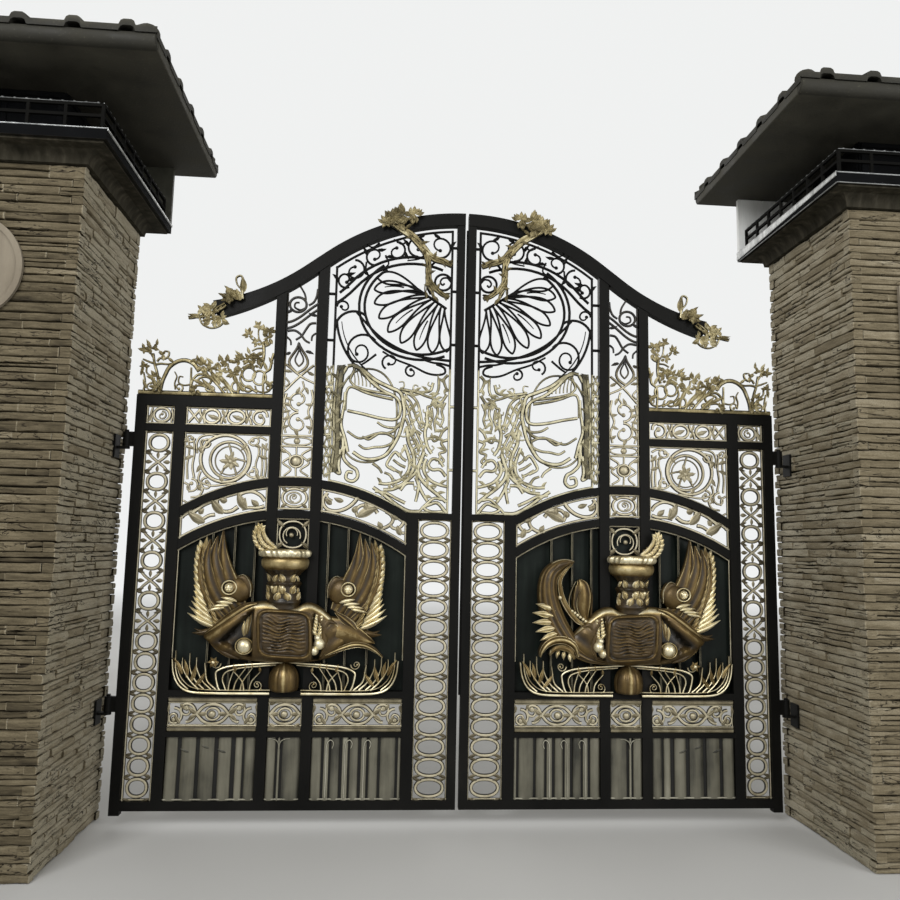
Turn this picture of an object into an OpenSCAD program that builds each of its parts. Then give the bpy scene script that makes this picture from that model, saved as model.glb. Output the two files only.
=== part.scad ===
// Pair of ornamental iron gate leaves with an ogee top rail, hung between stone gate pillars.
// Millimetres, +Z up. The origin is at ground level midway between the pillars.
// The leaves hang in the vertical plane y = gate_y and open inwards, towards +Y.

/* [Pillars] */
// Clear width between the two pillars
gateway_w = 4220; // [4180:10:4400]
// Width of a pillar along X
pillar_w = 1100; // [900:10:1300]
// Depth of a pillar along Y
pillar_d = 960; // [860:10:1100]
// Height of the stonework
pillar_h = 3600; // [3400:10:3800]
// Height of a band of stone courses between two deep bed joints
stone_band = 310; // [240:10:400]
// Width of the smooth panels on the front faces
plaque_w = 560; // [480:10:640]

/* [Caps] */
// How far the ledge slab stands out from the stonework
ledge_out = 150; // [100:5:200]
// Thickness of the ledge slab
ledge_t = 60; // [40:5:80]
// Height of the cove moulding under the ledge
cove_h = 80; // [60:5:110]
// Height of the eaves above the ground
eaves_z = 4130; // [4080:10:4300]
// How far the eaves stand out beside the stonework
eaves_side = 410; // [350:10:450]
// How far the eaves stand out in front of the stonework and behind it
eaves_front = 275; // [220:5:350]
// Pitch of the tiled roof in degrees
roof_pitch = 27; // [20:1:35]

/* [Leaves] */
// Distance of the leaves behind the middle of the pillars
gate_y = 300; // [200:10:380]
// Clear gap between the two leaves
meeting_gap = 20; // [14:1:30]
// Distance from the middle of the gateway to the back edge of a leaf
leaf_w = 2000; // [1980:5:2020]
// Height of the underside of the leaves above the ground
leaf_z = 94; // [60:2:120]
// Depth of the square bars along Y
bar_d = 50; // [40:2:60]
// Depth of the flat bars in the grilles, along Y
flat_t = 12; // [8:1:16]
// Width of the flat bars in the grilles, seen from the front
flat_w = 12; // [9:1:15]
// Height of the middle of the top rail at the meeting stiles
crown_z = 3735; // [3700:5:3760]
// Height of the shoulder, where the low side part ends
shoulder_z = 2520; // [2480:10:2560]

/* [Rings] */
// Distance from one ring of a ring strip to the next
ring_pitch = 118; // [100:2:140]
// Width of the flat bar that the rings are bent from
ring_bar = 11; // [8:1:16]

/* [Fan] */
// Half width of the double loop round the fan in the crown of the leaf
fan_r = 392; // [360:2:400]
// Number of petals in the fan
petals = 10; // [7:1:12]

/* [Crest] */
// How far the crest stands out in front of the backing sheet
crest_out = 120; // [90:5:125]

/* [Hinges] */
// Radius of a hinge pin
pin_r = 12; // [10:1:14]
// Outer radius of a hinge eye
eye_r = 22; // [20:1:26]

/* [Hidden] */
$fn = 48;
SIDES = ["left", "right"];
LEAF_PARTS = [
    "stiles", "lower_rails", "arch_rails", "shoulder_rails", "camelback_rail", "flute_panels",
    "scroll_band", "ring_strips", "backing_sheet", "arch_scrolls", "crest_shield",
    "crest_wings", "crest_feet", "fan_panel", "vine_panel", "side_strip", "shoulder_panel",
    "shoulder_cresting", "leaf_sprays", "hinge_eyes"
];
PILLAR_PARTS = ["pillar", "cap", "roof"];
SHARED_PARTS = ["front_plaques", "lantern_piers", "cap_railings", "rear_screens", "hinge_brackets", "meeting_bead"];

// Colours of the finishes
BLACK = [0.09, 0.09, 0.1];
PATINA = [0.5, 0.45, 0.32];
GOLD = [0.62, 0.47, 0.2];
STONE = [0.47, 0.41, 0.31];
RENDER = [0.5, 0.46, 0.38];
DARK_GREY = [0.2, 0.2, 0.19];
PALE_GREY = [0.66, 0.67, 0.66];
FLUTE_GREY = [0.36, 0.35, 0.3];

// Places across a leaf, from the middle of the gateway outwards: [inner edge, outer edge]
MEETING = [meeting_gap/2, 62];
STILE_2 = [270, 338];
STILE_A = [867, 929];
STILE_B = [1128, 1189];
STILE_5 = [1706, 1770];
BACK = [1941, leaf_w];
BAYS = [[STILE_2[1], STILE_A[0]], [STILE_A[1], STILE_B[0]], [STILE_B[1], STILE_5[0]]];

// Heights of the horizontal members: [lowest, highest]
BOTTOM_RAIL = [leaf_z, 145];
BAND_RAIL = [505, 535];
BAND_STRIP_LOW = [535, 563];
BAND = [563, 702];
BAND_STRIP_HIGH = [702, 732];
LOCK_RAIL = [732, 770];
TRANSOM = [1800, 1838];
SHOULDER_LOW = [2300, 2343];
SHOULDER_HIGH = [2457, shoulder_z];

// Arch rails: the centre line is part of a circle through the crown and the springing
ARCH_X = (STILE_A[1] + STILE_B[0])/2;
ARCH_R = 1256;
ARCH_BAR = 48;
ARCH_SPAN = 40;
ARCH_LINE = 10;
UPPER_ARCH_Z = 2012;
LOWER_ARCH_Z = 1815;

// Camelback rail: a convex arc, a straight piece and a concave arc that ends in the tail
RAIL_H = 80;
CAMEL_D = 60;
CONVEX_R = 1430;
CONCAVE_R = 1800;
OGEE_ANGLE = 37;
TAIL_ANGLE = 17;
STRAIGHT_L = 175;
TAIL_H = 110;
CONVEX_C = [0, crown_z - CONVEX_R];
OGEE_START = CONVEX_C + CONVEX_R*[sin(OGEE_ANGLE), cos(OGEE_ANGLE)];
OGEE_END = OGEE_START + STRAIGHT_L*[cos(OGEE_ANGLE), -sin(OGEE_ANGLE)];
CONCAVE_C = OGEE_END + CONCAVE_R*[sin(OGEE_ANGLE), cos(OGEE_ANGLE)];

// Upper grille: outer edges of its frame, the height where its two panels meet, and the radius
// of its curved top
GRILLE = [85, 830];
GRILLE_SPLIT = 2750;
GRILLE_R = CONVEX_R - RAIL_H/2 - 26;

// Sweeping curves of the upper grille: centres of the fan, of the band over it (its convex and
// its concave part) and of the long leaf edge under it
FAN_C = [285, 3145];
FAN_FLAT = 0.87;
FAN_ROOTS = [[296, 3258], [134, 3150]];
SWEEP_C = [330, 2950];
SWEEP_R = 505;
SWEEP_ANGLE = 40;
SWEEP_R2 = 600;
SWEEP_C2 = SWEEP_C + (SWEEP_R + SWEEP_R2)*[cos(SWEEP_ANGLE), sin(SWEEP_ANGLE)];
LEAF_EDGE_C = [330, 3080];
LEAF_EDGE_R = 485;
VINE_TRUNK_R = 2430;
VINE_TRUNK_C = [350 - VINE_TRUNK_R, 2200];
CARTOUCHE_C = [610, 2440];

// Crest: height of the middle of the shield, its ribs, and how far its parts reach forward
SHIELD_Z = 1125;
RIB_OFFSETS = [-468, -338, -218, 218, 338, 468];
CREST_CLIP = 140;
AXIS_BACK = 40;

// Plaques and meeting bead
ROUND_PLAQUE_Z = 3020;
TALL_PLAQUE_Z = [2070, 3150];
BEAD_Z = [750, 3670];

// Hinges
HINGE_X = leaf_w + 50;
HINGE_Z = [640, 2200];
EYE_H = 90;

pillar_x = gateway_w/2 + pillar_w/2;
ledge_z = pillar_h + cove_h + ledge_t;

// Returns the point r away from the origin at angle a
function polar(r, a) = r*[cos(a), sin(a)];
// Number of facets of a circle in the preview, more on a large one
function facets(r) = r > 200 ? 180 : $fn;

// Height of an arch rail's centre line at x
function arch_z(crown, x) = crown - ARCH_R + sqrt(pow(ARCH_R, 2) - pow(x - ARCH_X, 2));
// Height of the camelback rail's centre line at x
function camel_z(x) = x < OGEE_START[0]
    ? crown_z - CONVEX_R + sqrt(pow(CONVEX_R, 2) - pow(x, 2))
    : x < OGEE_END[0]
        ? OGEE_START[1] - (x - OGEE_START[0])*tan(OGEE_ANGLE)
        : CONCAVE_C[1] - sqrt(pow(CONCAVE_R, 2) - pow(x - CONCAVE_C[0], 2));

// Raises a flat drawing in X and Z into a plate t thick, with its middle at y
module plate(t = flat_t, y = 0) {
    translate([0, gate_y + y + t/2, 0])
        rotate([90, 0, 0])
            linear_extrude(t)
                children();
}

// A box between two places across the leaf and two heights
module bar(xs, zs, d = bar_d, y = 0) {
    translate([xs[0], gate_y + y - d/2, zs[0]])
        cube([xs[1] - xs[0], d, zs[1] - zs[0]]);
}

// A rectangle between two places and two heights, drawn flat
module area_2d(xs, zs) {
    translate([xs[0], zs[0]])
        square([xs[1] - xs[0], zs[1] - zs[0]]);
}

// A rectangular frame of flat bar between two places and two heights, drawn flat
module frame_2d(xs, zs, w = flat_w) {
    difference() {
        area_2d(xs, zs);
        area_2d(xs + [w, -w], zs + [w, -w]);
    }
}

// A straight flat bar from a to b, drawn flat
module line_2d(a, b, w = flat_w) {
    n = [a[1] - b[1], b[0] - a[0]]/norm(b - a)*w/2;
    polygon([a - n, b - n, b + n, a + n]);
}

// A disc drawn flat, rx and rz from middle to edge, with straight sides the longer way
module disc_2d(c, rx, rz) {
    r = min(rx, rz);
    ends = [rx - r, rz - r];
    long = norm(ends) > 0.5;
    for (s = long ? [-1, 1] : [0])
        translate(c + s*ends)
            circle(r, $fn = facets(r));
    if (long)
        translate(c)
            square(rx > rz ? [2*ends[0], 2*r] : [2*r, 2*ends[1]], center = true);
}

// A ring or long link drawn flat
module ring_2d(c, rx, rz, w = flat_w) {
    difference() {
        disc_2d(c, rx, rz);
        disc_2d(c, rx - w, rz - w);
    }
}

// Part of a ring round c between the angles a0 and a1, drawn flat
module arc_2d(c, r, a0, a1, w = flat_w) {
    lo = min(a0, a1);
    steps = ceil(abs(a1 - a0)/80);
    reach = 1.5*(r + w);
    intersection() {
        ring_2d(c, r + w/2, r + w/2, w);
        polygon(concat([c], [for (i = [0:steps]) c + polar(reach, lo + abs(a1 - a0)*i/steps)]));
    }
}

// A spiral of n half circles round c, each shrink times the last, drawn flat. The first starts at
// angle a with radius r, and turn is 1 to go anticlockwise and -1 to go clockwise
module volute_2d(c, r, a, n = 3, turn = 1, w = flat_w, shrink = 0.62) {
    a1 = a + 180*turn;
    weld = 3;
    arc_2d(c, r, a, a1, w);
    translate(c + polar(r, a1))
        rotate(a1)
            square([w - 1, weld], center = true);
    if (n > 1)
        volute_2d(c + polar(r*(1 - shrink), a1), r*shrink, a1, n - 1, turn, w, shrink);
    else
        translate(c + polar(r, a1))
            circle(w);
}

// A hollow pointed petal from its root along angle a, drawn flat
module petal_2d(root, a, long, wide, w = flat_w) {
    r = (long*long/4 + wide*wide/4)/wide;
    m = root + polar(long/2, a);
    difference() {
        intersection_for (s = [-1, 1])
            translate(m + polar(s*(r - wide/2), a + 90))
                circle(r, $fn = facets(r));
        intersection_for (s = [-1, 1])
            translate(m + polar(s*(r - wide/2), a + 90))
                circle(r - w, $fn = facets(r));
    }
}

// A solid pointed leaf from its root along angle a, drawn flat
module leaf_2d(root, a, long, wide) {
    r = (long*long/4 + wide*wide/4)/wide;
    intersection_for (s = [-1, 1])
        translate(root + polar(long/2, a) + polar(s*(r - wide/2), a + 90))
            circle(r, $fn = facets(r));
}

// An arch rail across the leaf, drawn flat
module arch_2d(crown, w = ARCH_BAR) {
    arc_2d([ARCH_X, crown - ARCH_R], ARCH_R, 90 - ARCH_SPAN, 90 + ARCH_SPAN, w);
}

// Everything under an arch rail, from its middle line less gap, drawn flat
module arch_disc_2d(crown, gap = ARCH_BAR/2) {
    translate([ARCH_X, crown - ARCH_R])
        circle(ARCH_R - gap, $fn = facets(ARCH_R));
}

// The part between two places and two heights that lies above the upper arch rail, drawn flat
module over_arch_2d(xs, zs, gap = 0) {
    difference() {
        area_2d(xs, zs);
        arch_disc_2d(UPPER_ARCH_Z, -ARCH_BAR/2 - gap);
    }
}

// The two lines of the sweeping band, r from its middle line, drawn flat
module sweep_2d() {
    for (r = [-20, 20]) {
        arc_2d(SWEEP_C, SWEEP_R + r, SWEEP_ANGLE, 125);
        arc_2d(SWEEP_C2, SWEEP_R2 - r, 180 + SWEEP_ANGLE, 272);
    }
}

// The concave part of the camelback rail, drawn flat. Its lower edge has its centre at CONCAVE_C. Its
// upper edge is a tighter circle, so that the rail grows from RAIL_H to TAIL_H
module tail_2d() {
    start = CONCAVE_R - RAIL_H/2;
    end = CONCAVE_R + RAIL_H/2 - TAIL_H;
    turn = cos(OGEE_ANGLE - TAIL_ANGLE);
    r = (start*start + end*end - 2*start*end*turn)/(2*(start - end*turn));
    difference() {
        arc_2d(CONCAVE_C, CONCAVE_R, 270 - OGEE_ANGLE, 270 - TAIL_ANGLE, 2*TAIL_H);
        translate(CONCAVE_C + polar(start - r, 270 - OGEE_ANGLE))
            circle(r, $fn = facets(r));
        ring_2d(CONCAVE_C, CONCAVE_R + 2*TAIL_H, CONCAVE_R + 2*TAIL_H, 2*TAIL_H - RAIL_H/2);
    }
}

// The camelback rail with its upright end at the meeting edge, drawn flat
module camelback_2d(w = RAIL_H) {
    difference() {
        union() {
            arc_2d([0, crown_z - CONVEX_R], CONVEX_R, 90 - OGEE_ANGLE, 92, w);
            line_2d(OGEE_START, OGEE_END, w);
            tail_2d();
        }
        area_2d([-200, MEETING[0]], [crown_z - 200, crown_z + 200]);
    }
}

// Puts a right-hand shape on the side that is asked for
module on_side(side) {
    if (side == "left")
        mirror([1, 0, 0]) children();
    else
        children();
}

// Stone-clad pillar: bands of courses with a recessed bed joint between them
module pillar(side) {
    joint_h = 22;
    joint_d = 19;
    count = round(pillar_h/stone_band);
    pitch = pillar_h/count;
    color(STONE)
        on_side(side)
            translate([gateway_w/2, -pillar_d/2, 0])
                union() {
                    translate([joint_d, joint_d, 0])
                        cube([pillar_w - 2*joint_d, pillar_d - 2*joint_d, pillar_h]);
                    for (i = [0:count - 1]) {
                        foot = i*pitch + (i > 0 ? joint_h/2 : 0);
                        head = (i + 1)*pitch - (i < count - 1 ? joint_h/2 : 0);
                        translate([0, 0, foot])
                            cube([pillar_w, pillar_d, head - foot]);
                    }
                }
}

// A moulding round a rectangle, as two straight mouldings crossed: the section of each is the
// half size of the rectangle, widened by the cove
module cove(w, d) {
    lip = 20;
    intersection() {
        translate([0, d, 0])
            rotate([90, 0, 0])
                linear_extrude(2*d)
                    cove_2d(w/2 + lip);
        translate([-w, 0, 0])
            rotate([90, 0, 90])
                linear_extrude(2*w)
                    cove_2d(d/2 + lip);
    }
}

// Section of the cove moulding, half wide at its foot
module cove_2d(half) {
    difference() {
        area_2d([-half - cove_h, half + cove_h], [0, cove_h]);
        for (s = [-1, 1])
            translate([s*(half + cove_h), 0])
                circle(cove_h - 1);
    }
}

// Cove moulding and ledge slab on top of a pillar
module cap(side) {
    drip = 12;
    color(DARK_GREY)
        on_side(side)
            translate([pillar_x, 0, pillar_h]) {
                cove(pillar_w, pillar_d);
                translate([0, 0, cove_h + ledge_t/2])
                    cube([pillar_w + 2*ledge_out, pillar_d + 2*ledge_out, ledge_t], center = true);
                translate([0, 0, cove_h - drip/2])
                    cube([pillar_w + 2*ledge_out - 40, pillar_d + 2*ledge_out - 40, drip], center = true);
            }
}

// Hipped roof: two gable prisms crossed on an eaves board that is rounded along its front and back
// edges, with rolls along the hips and ridge
module roof(side) {
    w = pillar_w + 2*eaves_side;
    d = pillar_d + 2*eaves_front;
    rise = d/2*tan(roof_pitch);
    board = 60;
    lip_r = 48;
    roll_r = 45;
    roll_sides = 8;
    ridge = w/2 - d/2;
    hip_l = norm([d/2, d/2, rise]);
    hip_tilt = acos(rise/hip_l);
    color(DARK_GREY)
        on_side(side)
            translate([pillar_x, 0, eaves_z]) {
                translate([-w/2, -d/2 + lip_r, 0])
                    cube([w, d - 2*lip_r, board]);
                for (sy = [-1, 1])
                    translate([-w/2, sy*(d/2 - lip_r), lip_r])
                        rotate([0, 90, 0])
                            cylinder(h = w, r = lip_r);
                intersection() {
                    translate([-w/2, 0, board])
                        rotate([90, 0, 90])
                            linear_extrude(w)
                                polygon([[-d/2, 0], [d/2, 0], [0, rise]]);
                    translate([0, d/2, board])
                        rotate([90, 0, 0])
                            linear_extrude(d)
                                polygon([[-w/2, 0], [w/2, 0], [ridge, rise], [-ridge, rise]]);
                }
                translate([-ridge, 0, board + rise])
                    rotate([0, 90, 0])
                        cylinder(h = 2*ridge, r = roll_r, $fn = roll_sides);
                for (sx = [-1, 1], sy = [-1, 1])
                    translate([sx*ridge, 0, board + rise])
                        rotate([0, 0, atan2(sy, sx)])
                            rotate([0, 180 - hip_tilt, 0])
                                translate([0, 0, -roll_r/2])
                                    cylinder(h = hip_l - 1.5*roll_r, r = roll_r, $fn = roll_sides);
            }
}

// Smooth panels on the front faces: a round one on the left, a tall one on the right
module front_plaques() {
    plaque_t = 20;
    rim = 30;
    color(RENDER) {
        translate([-pillar_x, -pillar_d/2, ROUND_PLAQUE_Z])
            rotate([90, 0, 0])
                difference() {
                    cylinder(h = plaque_t, r = plaque_w/2);
                    translate([0, 0, plaque_t/2])
                        cylinder(h = plaque_t, r = plaque_w/2 - rim);
                }
        translate([pillar_x - plaque_w/2, -pillar_d/2 - plaque_t, TALL_PLAQUE_Z[0]])
            difference() {
                cube([plaque_w, plaque_t, TALL_PLAQUE_Z[1] - TALL_PLAQUE_Z[0]]);
                translate([rim, -plaque_t/2, rim])
                    cube([plaque_w - 2*rim, plaque_t, TALL_PLAQUE_Z[1] - TALL_PLAQUE_Z[0] - 2*rim]);
            }
    }
}

// Short pier on each cap that carries the roof
module lantern_piers() {
    inset = 220;
    color(DARK_GREY)
        for (s = [-1, 1])
            translate([s*pillar_x - pillar_w/2 + inset, -pillar_d/2 + inset, ledge_z])
                cube([pillar_w - 2*inset, pillar_d - 2*inset, eaves_z - ledge_z]);
}

// Low railing round the front and sides of each cap
module cap_railings() {
    rail = 16;
    h = 150;
    edge = 30;
    gap_back = 60;
    w = pillar_w + 2*ledge_out - 2*edge;
    d = pillar_d + 2*ledge_out - edge - gap_back;
    y0 = -pillar_d/2 - ledge_out + edge;
    bars = 7;
    color(BLACK)
        for (s = [-1, 1])
            translate([s*pillar_x, y0, ledge_z]) {
                for (z = [h - rail, h/2]) {
                    translate([-w/2, 0, z])
                        cube([w, rail, rail]);
                    for (x = [-w/2, w/2 - rail])
                        translate([x, 0, z])
                            cube([rail, d, rail]);
                }
                for (i = [0:bars]) {
                    translate([-w/2 + i*(w - rail)/bars, 0, 0])
                        cube([rail, rail, h - rail/2]);
                    if (i > 0)
                        for (x = [-w/2, w/2 - rail])
                            translate([x, i*(d - rail)/bars, 0])
                                cube([rail, rail, h - rail/2]);
                }
            }
}

// Boarded screen along the back edge of each cap, with a groove between its boards
module rear_screens() {
    t = 30;
    groove = 10;
    boards = 8;
    w = pillar_w + 2*ledge_out;
    color(PALE_GREY)
        for (s = [-1, 1])
            translate([s*pillar_x - w/2, pillar_d/2 + ledge_out - t, ledge_z])
                difference() {
                    cube([w, t, eaves_z - ledge_z]);
                    for (i = [1:boards - 1], y = [-1, t - groove/2])
                        translate([i*w/boards - groove/2, y, -1])
                            cube([groove, groove/2 + 1, eaves_z]);
                }
}

// Flange, arm and upright pin of each hinge
module hinge_brackets() {
    flange_t = 10;
    arm_t = 14;
    color(BLACK)
        for (side = SIDES, z = HINGE_Z)
            on_side(side)
                translate([HINGE_X, gate_y, z]) {
                    translate([gateway_w/2 - HINGE_X - flange_t, -45, -70])
                        cube([flange_t, 90, 140]);
                    translate([0, -eye_r, -arm_t])
                        cube([gateway_w/2 - HINGE_X - flange_t, 2*eye_r, arm_t]);
                    translate([0, 0, -arm_t])
                        cylinder(h = arm_t, r = eye_r);
                    cylinder(h = EYE_H + 12, r = pin_r);
                }
}

// Bead on the free edge of the right meeting stile
module meeting_bead() {
    bead_d = 16;
    color(BLACK)
        translate([-1, gate_y - bead_d/2, BEAD_Z[0]])
            cube([MEETING[0] + 1, bead_d, BEAD_Z[1] - BEAD_Z[0]]);
}

// Upright bars of a leaf
module stiles(side) {
    foot = 25;
    color(BLACK)
        on_side(side) {
            bar(BACK, [leaf_z - foot, shoulder_z]);
            bar(STILE_2, [BOTTOM_RAIL[1], TRANSOM[1]]);
            bar(STILE_5, [BOTTOM_RAIL[1], SHOULDER_HIGH[0]]);
            for (xs = [MEETING, STILE_A, STILE_B])
                plate(bar_d)
                    difference() {
                        area_2d(xs, [xs == MEETING ? leaf_z : BOTTOM_RAIL[1], camel_z((xs[0] + xs[1])/2)]);
                        camelback_2d();
                    }
        }
}

// Bottom rail and the two rows of rails round the scroll band
module lower_rails(side) {
    color(BLACK)
        on_side(side) {
            bar([MEETING[1], BACK[0]], BOTTOM_RAIL);
            for (xs = BAYS, zs = [BAND_RAIL, LOCK_RAIL])
                bar(xs, zs);
        }
}

// The two arch rails between stile 2 and stile 5, and the transom beside them
module arch_rails(side) {
    color(BLACK)
        on_side(side) {
            plate(bar_d - 6)
                for (xs = BAYS, crown = [UPPER_ARCH_Z, LOWER_ARCH_Z])
                    intersection() {
                        arch_2d(crown);
                        area_2d(xs, [BAND[1], UPPER_ARCH_Z + ARCH_BAR]);
                    }
            bar([MEETING[1], STILE_2[0]], TRANSOM);
        }
}

// Rails of the low side part
module shoulder_rails(side) {
    color(BLACK)
        on_side(side) {
            bar([STILE_B[1], BACK[0]], SHOULDER_HIGH);
            bar([STILE_B[1], STILE_5[0]], SHOULDER_LOW);
            bar([STILE_5[1], BACK[0]], SHOULDER_LOW);
        }
}

// Ogee top rail
module camelback_rail(side) {
    color(BLACK)
        on_side(side)
            plate(CAMEL_D)
                camelback_2d();
}

// Fluted sheets in the lowest bays, with a flat strip along their foot
module flute_panels(side) {
    rib = 58;
    rib_d = 14;
    sheet_t = 4;
    foot_h = 12;
    color(FLUTE_GREY)
        on_side(side)
            for (xs = BAYS) {
                w = xs[1] - xs[0];
                count = floor(w/(rib + 14));
                translate([xs[0], gate_y, BOTTOM_RAIL[1]]) {
                    cube([w, sheet_t, BAND_RAIL[0] - BOTTOM_RAIL[1]]);
                    translate([0, -rib_d, 0])
                        cube([w, rib_d, foot_h]);
                    translate([0, 0, foot_h])
                        intersection() {
                            for (i = [0:count - 1])
                                translate([(i + 0.5)*w/count, rib/2 - rib_d, 0])
                                    cylinder(h = BAND_RAIL[0] - BOTTOM_RAIL[1] - foot_h, r = rib/2);
                            translate([0, -rib_d, 0])
                                cube([w, rib_d + sheet_t/2, BAND_RAIL[0]]);
                        }
                }
            }
}

// Scrolls of the band above the flutes, between two gilt strips
module scroll_band(side) {
    band_t = 14;
    z = (BAND[0] + BAND[1])/2;
    h = (BAND[1] - BAND[0])/2;
    color(PATINA)
        on_side(side)
            for (xs = BAYS) {
                m = (xs[0] + xs[1])/2;
                half = (xs[1] - xs[0])/2;
                long = half > 150;
                for (zs = [BAND_STRIP_LOW, BAND_STRIP_HIGH])
                    bar(xs, zs, bar_d - 10);
                plate(band_t)
                    intersection() {
                        area_2d(xs, BAND);
                        union() {
                            frame_2d(xs, BAND, 9);
                            ring_2d([m, z], long ? h + 22 : half - 6, h - 5, 15);
                            ring_2d([m, z], 30, 24, 12);
                            area_2d([m - 5, m + 5], [z + 20, BAND[1] - 12]);
                            if (long)
                                for (s = [-1, 1]) {
                                    volute_2d([m + s*146, z + 8], 54, -90, 3, -s, 12);
                                    volute_2d([m + s*219, z - 12], 46, 90, 3, s, 12);
                                }
                        }
                    }
            }
}

// Chains of rings beside the meeting stile and beside the back stile
module ring_strips(side) {
    color(PATINA)
        on_side(side)
            plate() {
                ring_chain_2d([MEETING[1], STILE_2[0]], [BOTTOM_RAIL[1], TRANSOM[0]]);
                ring_chain_2d([STILE_5[1], BACK[0]], [BOTTOM_RAIL[1], SHOULDER_LOW[0]]);
            }
}

// Rings one above the other in a frame of flat bar, drawn flat
module ring_chain_2d(xs, zs) {
    frame_w = 9;
    count = floor((zs[1] - zs[0])/ring_pitch);
    pitch = (zs[1] - zs[0] - 2*frame_w)/count;
    m = (xs[0] + xs[1])/2;
    frame_2d(xs, zs, frame_w);
    for (i = [0:count - 1])
        ring_2d([m, zs[0] + frame_w + (i + 0.5)*pitch], (xs[1] - xs[0])/2 - frame_w + 2, pitch/2 + 1, ring_bar);
}

// Sheet behind the crest, from the lock rail up to the lower arch, with upright ribs before it
module backing_sheet(side) {
    rib = 12;
    sheet_t = 4;
    middle = [(STILE_2[0] + STILE_2[1])/2, (STILE_5[0] + STILE_5[1])/2];
    color(BLACK)
        on_side(side) {
            plate(sheet_t, (bar_d + sheet_t)/2)
                intersection() {
                    arch_disc_2d(LOWER_ARCH_Z, 0);
                    area_2d(middle, [LOCK_RAIL[0], LOWER_ARCH_Z]);
                }
            plate(bar_d)
                for (x = RIB_OFFSETS)
                    intersection() {
                        area_2d([ARCH_X + x - rib/2, ARCH_X + x + rib/2], [LOCK_RAIL[1], LOWER_ARCH_Z]);
                        arch_disc_2d(LOWER_ARCH_Z, ARCH_BAR/2 + ARCH_LINE);
                    }
        }
}

// Scrolls between the two arch rails, the line under the lower one, and the small frames between
// stile A and stile B
module arch_scrolls(side) {
    low_frame = [1590, LOWER_ARCH_Z];
    line_foot = 950;
    count = 4;
    mid = (UPPER_ARCH_Z + LOWER_ARCH_Z)/2;
    gap = UPPER_ARCH_Z - LOWER_ARCH_Z - ARCH_BAR;
    low_z = (low_frame[0] + LOWER_ARCH_Z - ARCH_BAR/2)/2;
    color(PATINA)
        on_side(side)
            plate(flat_t) {
                for (b = [0, 2])
                    difference() {
                        intersection() {
                            area_2d(BAYS[b], [BAND[1], UPPER_ARCH_Z]);
                            arch_disc_2d(UPPER_ARCH_Z);
                            union() {
                                arc_2d([ARCH_X, UPPER_ARCH_Z - ARCH_R], ARCH_R - (ARCH_BAR + ARCH_LINE)/2, 50, 130, ARCH_LINE);
                                arc_2d([ARCH_X, LOWER_ARCH_Z - ARCH_R], ARCH_R + (ARCH_BAR + ARCH_LINE)/2, 50, 130, ARCH_LINE);
                                for (k = [0:count - 1]) {
                                    x = BAYS[b][0] + (BAYS[b][1] - BAYS[b][0])*(k + 0.5)/count;
                                    tilt = asin((ARCH_X - x)/ARCH_R);
                                    up = k % 2 == 0 ? 1 : -1;
                                    volute_2d([x, arch_z(mid, x)], gap*cos(tilt)/2 - 4, tilt + 90*up, 3, b - 1);
                                }
                            }
                        }
                        arch_disc_2d(LOWER_ARCH_Z, -ARCH_BAR/2);
                    }
                difference() {
                    intersection() {
                        area_2d(BAYS[1], [LOWER_ARCH_Z, UPPER_ARCH_Z]);
                        arch_disc_2d(UPPER_ARCH_Z);
                        union() {
                            frame_2d(BAYS[1], [LOWER_ARCH_Z + ARCH_BAR/2 - 2, UPPER_ARCH_Z - ARCH_BAR/2], 12);
                            volute_2d([ARCH_X, mid], gap/2 - 10, -90, 4, 1, 10);
                        }
                    }
                    arch_disc_2d(LOWER_ARCH_Z, -ARCH_BAR/2);
                }
                intersection() {
                    arch_disc_2d(LOWER_ARCH_Z);
                    union() {
                        frame_2d(BAYS[1], low_frame + [0, 10], ARCH_LINE);
                        volute_2d([ARCH_X, low_z], 86, 90, 4, 1, ARCH_LINE);
                    }
                }
                for (s = [-1, 1])
                    difference() {
                        intersection() {
                            area_2d(s < 0 ? BAYS[0] : BAYS[2], [line_foot, LOWER_ARCH_Z]);
                            arch_disc_2d(LOWER_ARCH_Z);
                        }
                        intersection() {
                            area_2d(s < 0 ? BAYS[0] + [ARCH_LINE, 1] : BAYS[2] - [1, ARCH_LINE], [line_foot - 1, LOWER_ARCH_Z]);
                            arch_disc_2d(LOWER_ARCH_Z, ARCH_BAR/2 + ARCH_LINE);
                        }
                    }
            }
}

// Keeps only what lies in front of the stiles, at most CREST_CLIP forward of them
module in_front() {
    intersection() {
        children();
        translate([0, gate_y - bar_d/2 - CREST_CLIP, LOCK_RAIL[0]])
            cube([leaf_w, CREST_CLIP, UPPER_ARCH_Z - LOCK_RAIL[0]]);
    }
}

// Raises a flat drawing forward from the front of the stiles
module raise(t) {
    plate(t, -(bar_d + t)/2)
        children();
}

// A ball far behind the front of the stiles, that bulges out before them with radius r round c
module bulge(c, r, out) {
    ball_r = (r*r + out*out)/(2*out);
    translate([c[0], gate_y - bar_d/2 - out + ball_r, c[1]])
        sphere(ball_r, $fn = 96);
}

// A point of the crest: across from its middle, and its height
function crest_at(x, z) = [ARCH_X + x, z];
// The angle a, or its mirror image on the left half of the crest
function turned(a, s) = s > 0 ? a : 180 - a;

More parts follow.
